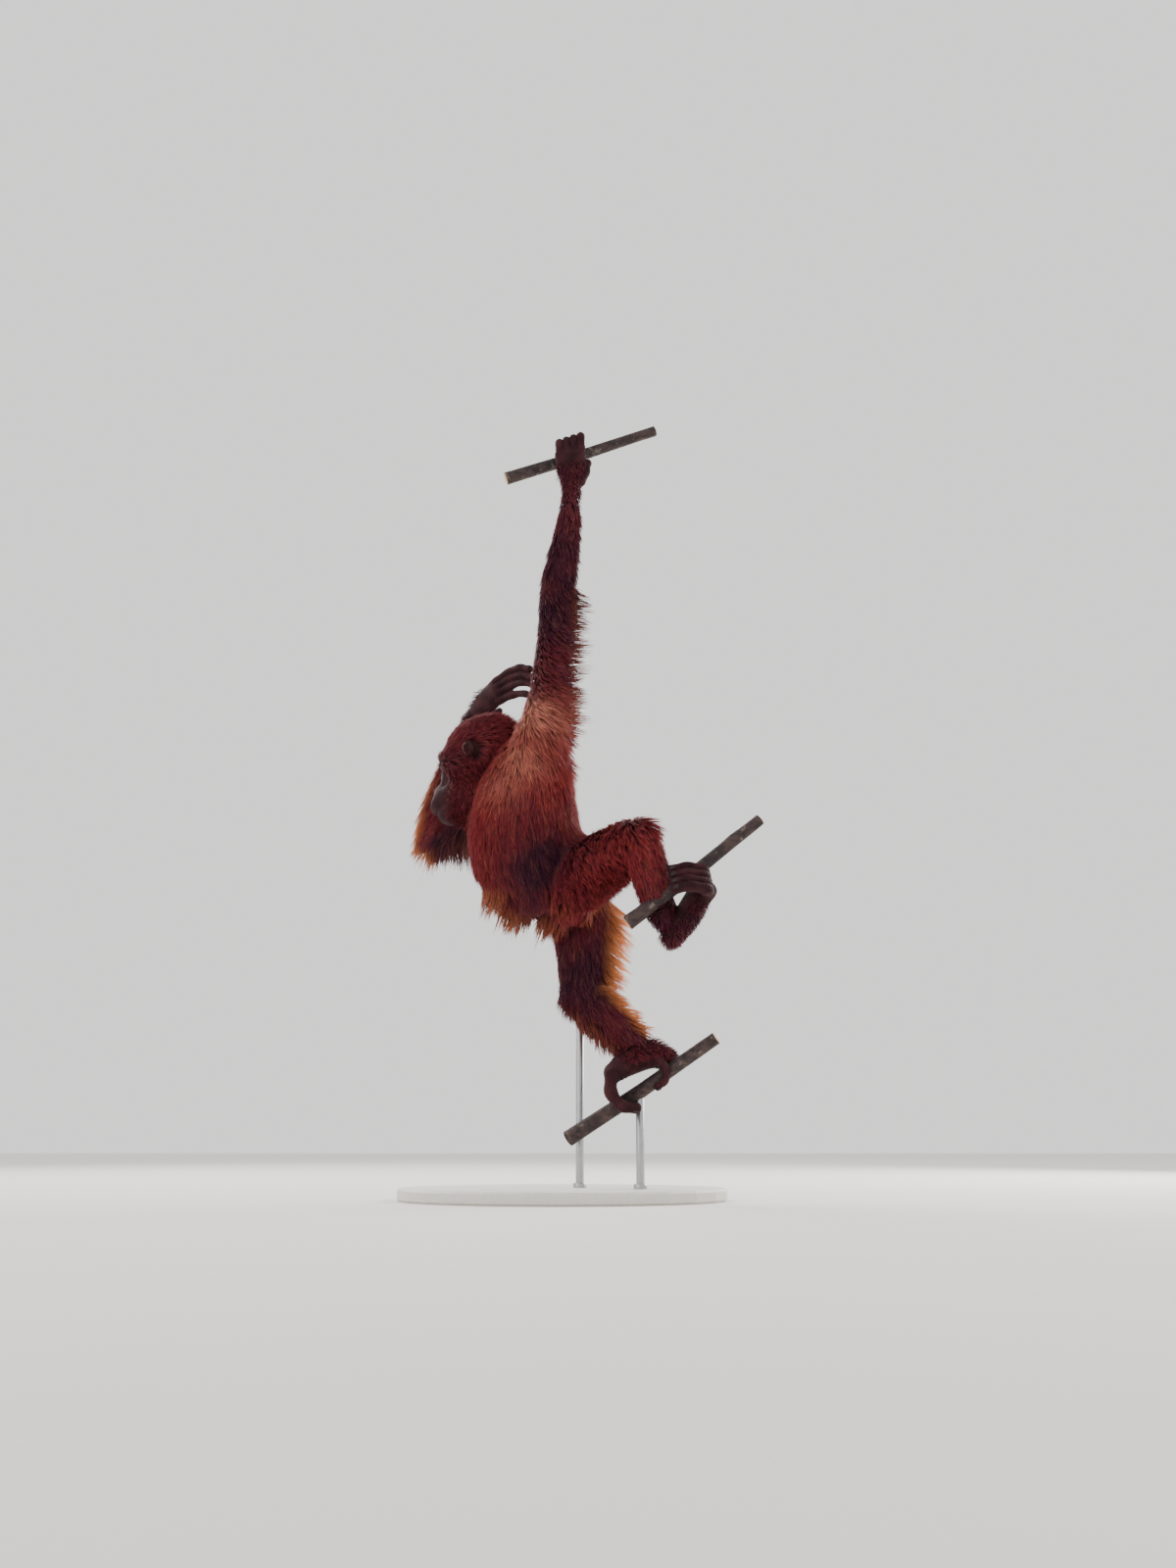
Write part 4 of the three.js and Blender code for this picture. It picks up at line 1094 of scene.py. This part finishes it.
def newGroup(name, inputs, outputs):
    group = bpy.data.node_groups.new(name, "ShaderNodeTree")
    for label, kind, value in inputs:
        socket = group.interface.new_socket(label, in_out="INPUT", socket_type=kind)
        socket.default_value = value
    for label, kind in outputs:
        group.interface.new_socket(label, in_out="OUTPUT", socket_type=kind)
    return group, group.nodes.new("NodeGroupInput"), group.nodes.new("NodeGroupOutput")


def addNode(tree, kind, **values):
    node = tree.nodes.new(kind)
    for key, value in values.items():
        setattr(node, key, value)
    return node


def plug(tree, value, socket):  # a link, or an even value set on the socket itself
    if isinstance(value, bpy.types.NodeSocket):
        tree.links.new(value, socket)
    else:
        socket.default_value = value


def mixColour(tree, factor, first, second):
    node = addNode(tree, "ShaderNodeMix", data_type="RGBA")
    for value, place in ((factor, 0), (first, 6), (second, 7)):
        plug(tree, value, node.inputs[place])
    return node.outputs[2]


def maths(tree, operation, first, second=0.0, clamp=False):
    node = addNode(tree, "ShaderNodeMath", operation=operation, use_clamp=clamp)
    plug(tree, first, node.inputs[0])
    plug(tree, second, node.inputs[1])
    return node.outputs[0]


def attribute(tree, name, amount=None, clamp=False):
    value = addNode(tree, "ShaderNodeAttribute", attribute_name=name).outputs["Fac"]
    return value if amount is None else maths(tree, "MULTIPLY", value, amount, clamp)


def noise(tree, scale, detail=3.0, stretch=None):
    place = addNode(tree, "ShaderNodeTexCoord").outputs["Object"]
    if stretch:
        mapping = addNode(tree, "ShaderNodeMapping")
        plug(tree, stretch, mapping.inputs["Scale"])
        plug(tree, place, mapping.inputs["Vector"])
        place = mapping.outputs[0]
    node = addNode(tree, "ShaderNodeTexNoise")
    for label, value in (("Scale", scale), ("Detail", detail), ("Vector", place)):
        plug(tree, value, node.inputs[label])
    return node.outputs["Fac"]


def spread(tree, value, low, high, start=0.0, end=1.0):
    node = addNode(tree, "ShaderNodeMapRange")
    plug(tree, value, node.inputs[0])
    for k, number in enumerate((low, high, start, end)):
        node.inputs[k + 1].default_value = number
    return node.outputs[0]


def rgb(r, g, b):  # screen colour to the linear colour that a socket takes
    return tuple(((c / 255 + 0.055) / 1.055) ** 2.4 if c > 10 else c / 3294 for c in (r, g, b)) + (1.0,)


# Deep root and Deep tip serve the coat's own darker colour and painted shade alike; Light is painted
# backlight glowing in the fringe tips
coatColours = {"Root": rgb(58, 16, 28), "Tip": rgb(168, 56, 58), "Deep root": rgb(25, 7, 22),
               "Deep tip": rgb(66, 16, 42), "Pale": rgb(214, 136, 114), "Light": rgb(252, 160, 96)}


def coatTint():  # from root to tip, with the markings and painted shade, the painted glow of the lit fringes and each clump's own tone
    colours = [(label, "NodeSocketColor", colour) for label, colour in coatColours.items()]
    group, start, end = newGroup("coatTint", colours,
                                 [("Color", "NodeSocketColor"), ("Roughness", "NodeSocketFloat")])
    given = start.outputs
    along, tone = attribute(group, "along"), attribute(group, "tone")
    bright = mixColour(group, along, given["Root"], given["Tip"])
    dark = mixColour(group, along, given["Deep root"], given["Deep tip"])
    patches = spread(group, noise(group, 14, 2), 0.3, 0.7, -0.12, 0.12)
    colour = mixColour(group, maths(group, "ADD", attribute(group, "deep"), patches, True), bright, dark)
    colour = mixColour(group, attribute(group, "pale", 0.7), colour, given["Pale"])
    # painted glow of backlight, growing toward the tips
    lit = maths(group, "MULTIPLY", attribute(group, "paintedGlow"), spread(group, along, 0.05, 0.8, 0.0, 0.95))
    vary = addNode(group, "ShaderNodeHueSaturation")
    plug(group, mixColour(group, lit, colour, given["Light"]), vary.inputs["Color"])
    plug(group, spread(group, tone, 0, 1, 0.74, 1.28), vary.inputs["Value"])
    plug(group, spread(group, tone, 0, 1, 0.492, 0.51), vary.inputs["Hue"])
    plug(group, vary.outputs[0], end.inputs["Color"])
    plug(group, spread(group, tone, 0, 1, 0.62, 0.42), end.inputs["Roughness"])
    return group


def leather():  # fine creases of bare skin
    group, start, end = newGroup("leather", [
        ("Base", "NodeSocketColor", (0.1, 0.1, 0.1, 1)), ("Worn", "NodeSocketColor", (0.2, 0.2, 0.2, 1)),
        ("Scale", "NodeSocketFloat", 1.0)],
        [("Color", "NodeSocketColor"), ("Height", "NodeSocketFloat"), ("Roughness", "NodeSocketFloat")])
    place = addNode(group, "ShaderNodeTexCoord").outputs["Object"]
    cells = addNode(group, "ShaderNodeTexVoronoi", feature="DISTANCE_TO_EDGE")
    plug(group, place, cells.inputs["Vector"])
    plug(group, maths(group, "MULTIPLY", start.outputs["Scale"], 520), cells.inputs["Scale"])
    crease = spread(group, cells.outputs["Distance"], 0, 0.12)
    pores = noise(group, 900, 2)
    folds = noise(group, 120, 4)
    height = maths(group, "ADD", maths(group, "MULTIPLY", crease, 0.3), maths(group, "MULTIPLY", folds, 0.9))
    height = maths(group, "ADD", height, maths(group, "MULTIPLY", pores, 0.2))
    blotch = spread(group, noise(group, 34, 3), 0.35, 0.7)
    plug(group, mixColour(group, blotch, start.outputs["Base"], start.outputs["Worn"]), end.inputs["Color"])
    plug(group, height, end.inputs["Height"])
    plug(group, spread(group, crease, 0, 1, 0.88, 0.7), end.inputs["Roughness"])
    return group


def placeGroup(tree, group, **values):
    node = addNode(tree, "ShaderNodeGroup", node_tree=group)
    for key, value in values.items():
        plug(tree, value, node.inputs[key.replace("_", " ")])
    return node


def newMaterial(name, **values):
    material = bpy.data.materials.new(name)
    material.use_nodes = True
    shader = material.node_tree.nodes["Principled BSDF"]
    for key, value in values.items():
        shader.inputs[key.replace("_", " ")].default_value = value
    return material, material.node_tree, shader


def bumpFrom(tree, height, shader, distance, strength=1.0):
    bump = addNode(tree, "ShaderNodeBump")
    for label, value in (("Distance", distance), ("Strength", strength), ("Height", height)):
        plug(tree, value, bump.inputs[label])
    plug(tree, bump.outputs[0], shader.inputs["Normal"])


coatGroup, leatherGroup = coatTint(), leather()


def coatMaterial():
    material, tree, shader = newMaterial("coat_hair", Specular_IOR_Level=0.12, Sheen_Weight=0.03,
                                         Sheen_Roughness=0.5)
    tint = placeGroup(tree, coatGroup)
    plug(tree, tint.outputs["Color"], shader.inputs["Base Color"])
    plug(tree, tint.outputs["Roughness"], shader.inputs["Roughness"])
    return material


skinColours = dict(face=rgb(46, 24, 29), faceWorn=rgb(68, 38, 41), hand=rgb(44, 22, 27),
                   handWorn=rgb(72, 38, 42), under=rgb(56, 17, 20), underWorn=rgb(70, 24, 24),
                   underDeepAndShade=rgb(44, 22, 22), armpit=rgb(176, 112, 98), soft=rgb(118, 82, 78),
                   crease=rgb(20, 9, 11))


def skinMaterial():
    c = skinColours
    material, tree, shader = newMaterial("bare_skin", Specular_IOR_Level=0.1)
    face = placeGroup(tree, leatherGroup, Base=c["face"], Worn=c["faceWorn"], Scale=1.5)
    hand = placeGroup(tree, leatherGroup, Base=c["hand"], Worn=c["handWorn"], Scale=1.4)
    under = placeGroup(tree, leatherGroup, Base=c["under"], Worn=c["underWorn"], Scale=1.0)
    # darker by the deep value: the skin's own darker colour and painted shade
    colour = mixColour(tree, attribute(tree, "deep", 1.0, True), under.outputs["Color"], c["underDeepAndShade"])
    colour = mixColour(tree, attribute(tree, "pale", 0.8), colour, c["armpit"])
    onHand = spread(tree, attribute(tree, "leather"), 0.1, 0.6)
    colour = mixColour(tree, onHand, colour, hand.outputs["Color"])
    lidded = mixColour(tree, attribute(tree, "soft", 0.7), face.outputs["Color"], c["soft"])
    colour = mixColour(tree, spread(tree, attribute(tree, "face"), 0.1, 0.6), colour, lidded)
    # painted shade between the lips and in the nostrils
    colour = mixColour(tree, attribute(tree, "crease", 0.85), colour, c["crease"])
    plug(tree, colour, shader.inputs["Base Color"])
    plug(tree, face.outputs["Roughness"], shader.inputs["Roughness"])
    bumpFrom(tree, face.outputs["Height"], shader, 0.0014, 0.9)
    return material


eyeColours = dict(pupil=rgb(4, 3, 3), iris=rgb(44, 22, 11), irisLight=rgb(82, 44, 20), white=rgb(52, 32, 28),
                  whiteDark=rgb(34, 20, 18))
eyeRings = dict(pupil=(13, 15), iris=(30, 35))  # degrees off the gaze where each ends


def eyeMaterial():
    c = eyeColours
    material, tree, shader = newMaterial("eye", Roughness=0.1, Specular_IOR_Level=0.3, Coat_Weight=0.1,
                                         Coat_Roughness=0.05)
    ring = attribute(tree, "iris")
    iris = mixColour(tree, spread(tree, noise(tree, 700, 2), 0.3, 0.7), c["iris"], c["irisLight"])
    white = mixColour(tree, spread(tree, noise(tree, 160, 3), 0.4, 0.7), c["white"], c["whiteDark"])
    colour = mixColour(tree, spread(tree, ring, *eyeRings["iris"]), iris, white)
    colour = mixColour(tree, spread(tree, ring, *eyeRings["pupil"]), c["pupil"], colour)
    plug(tree, colour, shader.inputs["Base Color"])
    return material


def nailMaterial():
    material, tree, shader = newMaterial("nail", Roughness=0.5, Specular_IOR_Level=0.25)
    streak = spread(tree, noise(tree, 260, 3), 0.3, 0.7)
    plug(tree, mixColour(tree, streak, rgb(24, 16, 17), rgb(46, 33, 31)), shader.inputs["Base Color"])
    bumpFrom(tree, streak, shader, 0.0003)
    return material


barkColours = dict(dark=rgb(50, 36, 36), light=rgb(84, 64, 60), groove=rgb(30, 22, 24),
                   lichen=rgb(112, 104, 94), wood=rgb(150, 112, 76), lateWood=rgb(196, 158, 114))


def barkMaterial():
    c = barkColours
    material, tree, shader = newMaterial("bark", Roughness=0.85)
    patches = spread(tree, noise(tree, 26, 4), 0.35, 0.65)
    lines = spread(tree, noise(tree, 150, 5, (0.35, 1.0, 0.6)), 0.35, 0.7)
    bark = mixColour(tree, patches, c["dark"], c["light"])
    bark = mixColour(tree, lines, c["groove"], bark)
    lichen = spread(tree, noise(tree, 60, 4), 0.62, 0.68)
    bark = mixColour(tree, maths(tree, "MULTIPLY", lichen, 0.6), bark, c["lichen"])
    rings = addNode(tree, "ShaderNodeMath", operation="SINE")
    plug(tree, attribute(tree, "ringRadius", 4200), rings.inputs[0])
    wood = mixColour(tree, spread(tree, rings.outputs[0], -1, 1), c["wood"], c["lateWood"])
    plug(tree, mixColour(tree, attribute(tree, "cutFace"), bark, wood), shader.inputs["Base Color"])
    bumpFrom(tree, maths(tree, "ADD", lines, maths(tree, "MULTIPLY", patches, 0.6)), shader, 0.0012, 0.8)
    return material


def boardMaterial():
    material, tree, shader = newMaterial("stand_board", Specular_IOR_Level=0.4)
    grain = spread(tree, noise(tree, 300, 3), 0.3, 0.7)
    plug(tree, mixColour(tree, grain, rgb(206, 203, 196), rgb(218, 215, 208)), shader.inputs["Base Color"])
    plug(tree, spread(tree, noise(tree, 40, 3), 0.3, 0.7, 0.42, 0.58), shader.inputs["Roughness"])
    bumpFrom(tree, grain, shader, 0.0002)
    return material


def steelMaterial():
    material, tree, shader = newMaterial("stand_metal", Metallic=1.0)
    brushed = spread(tree, noise(tree, 60, 3, (40.0, 40.0, 1.0)), 0.3, 0.7)
    plug(tree, mixColour(tree, brushed, rgb(150, 150, 152), rgb(186, 186, 188)), shader.inputs["Base Color"])
    plug(tree, spread(tree, brushed, 0, 1, 0.28, 0.42), shader.inputs["Roughness"])
    return material


def dress(piece, material):
    piece.data.materials.clear()
    piece.data.materials.append(material)
    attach(piece, "root")


hairMaterial = coatMaterial()
for piece in coatPieces:
    dress(piece, hairMaterial)
dress(skin, skinMaterial())
eyeFinish = eyeMaterial()
for eye, node in zip(eyes, ("eye_left", "eye_right")):
    dress(eye, eyeFinish)
    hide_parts(node)
dress(nails, nailMaterial())
barkFinish = barkMaterial()
for name, branch in branchPieces.items():
    dress(branch, barkFinish)
    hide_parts(branches[name]["node"])
steel = steelMaterial()
for name, rod in rodPieces.items():
    dress(rod, steel)
    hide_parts(name)
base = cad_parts["stand_base"]
base.data.materials.clear()
base.data.materials.append(boardMaterial())
kept = {"stand_base", "eye_left", "eye_right", *rods, *(b["node"] for b in branches.values())}
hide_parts(*[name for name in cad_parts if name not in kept])
print("materials", len(bpy.data.materials))

# Floor, light and camera

stage = dict(size=14, floor=rgb(226, 224, 220), sky=(1.0, 0.99, 0.98, 1), skyStrength=1.25)
lamps = [  # place, aim, width, power, colour
    ((-1.8, 2.0, 2.6), (0, 0, 0.9), 2.0, 120, (1.0, 0.96, 0.92)),
    ((2.2, 1.6, 1.6), (0, 0, 0.8), 1.8, 130, (1.0, 0.95, 0.9)),
    ((-2.4, -1.8, 1.8), (0, 0, 0.8), 2.6, 26, (1.0, 0.98, 0.97))]


def aimAt(thing, spot, aim):
    thing.location = spot
    thing.rotation_euler = (Vector(aim) - Vector(spot)).to_track_quat("-Z", "Y").to_euler()
    scene.collection.objects.link(thing)


def buildStage():
    bpy.ops.mesh.primitive_plane_add(size=stage["size"])
    floor = bpy.context.object
    floor.name = "floor"
    material, _, shader = newMaterial("floor", Roughness=0.9)
    shader.inputs["Base Color"].default_value = stage["floor"]
    floor.data.materials.append(material)
    world = bpy.data.worlds.new("sky")
    world.use_nodes = True
    world.node_tree.nodes["Background"].inputs["Color"].default_value = stage["sky"]
    world.node_tree.nodes["Background"].inputs["Strength"].default_value = stage["skyStrength"]
    scene.world = world
    for k, (spot, aim, width, power, colour) in enumerate(lamps):
        light = bpy.data.lights.new(f"lamp_{k + 1}", "AREA")
        light.size = width
        light.energy = power
        light.color = colour
        aimAt(bpy.data.objects.new(light.name, light), spot, aim)


view = dict(place=(0.050, -3.200, 0.130), aim=(0.050, 0.0, 0.824), lens=36.84, sensor=36.0)


def buildCamera():
    data = bpy.data.cameras.new("photo_view")
    data.sensor_fit = "VERTICAL"
    data.sensor_height = view["sensor"]
    data.lens = view["lens"]
    camera = bpy.data.objects.new("photo_view", data)
    aimAt(camera, view["place"], view["aim"])
    scene.camera = camera


buildStage()
buildCamera()
print("stage and camera")
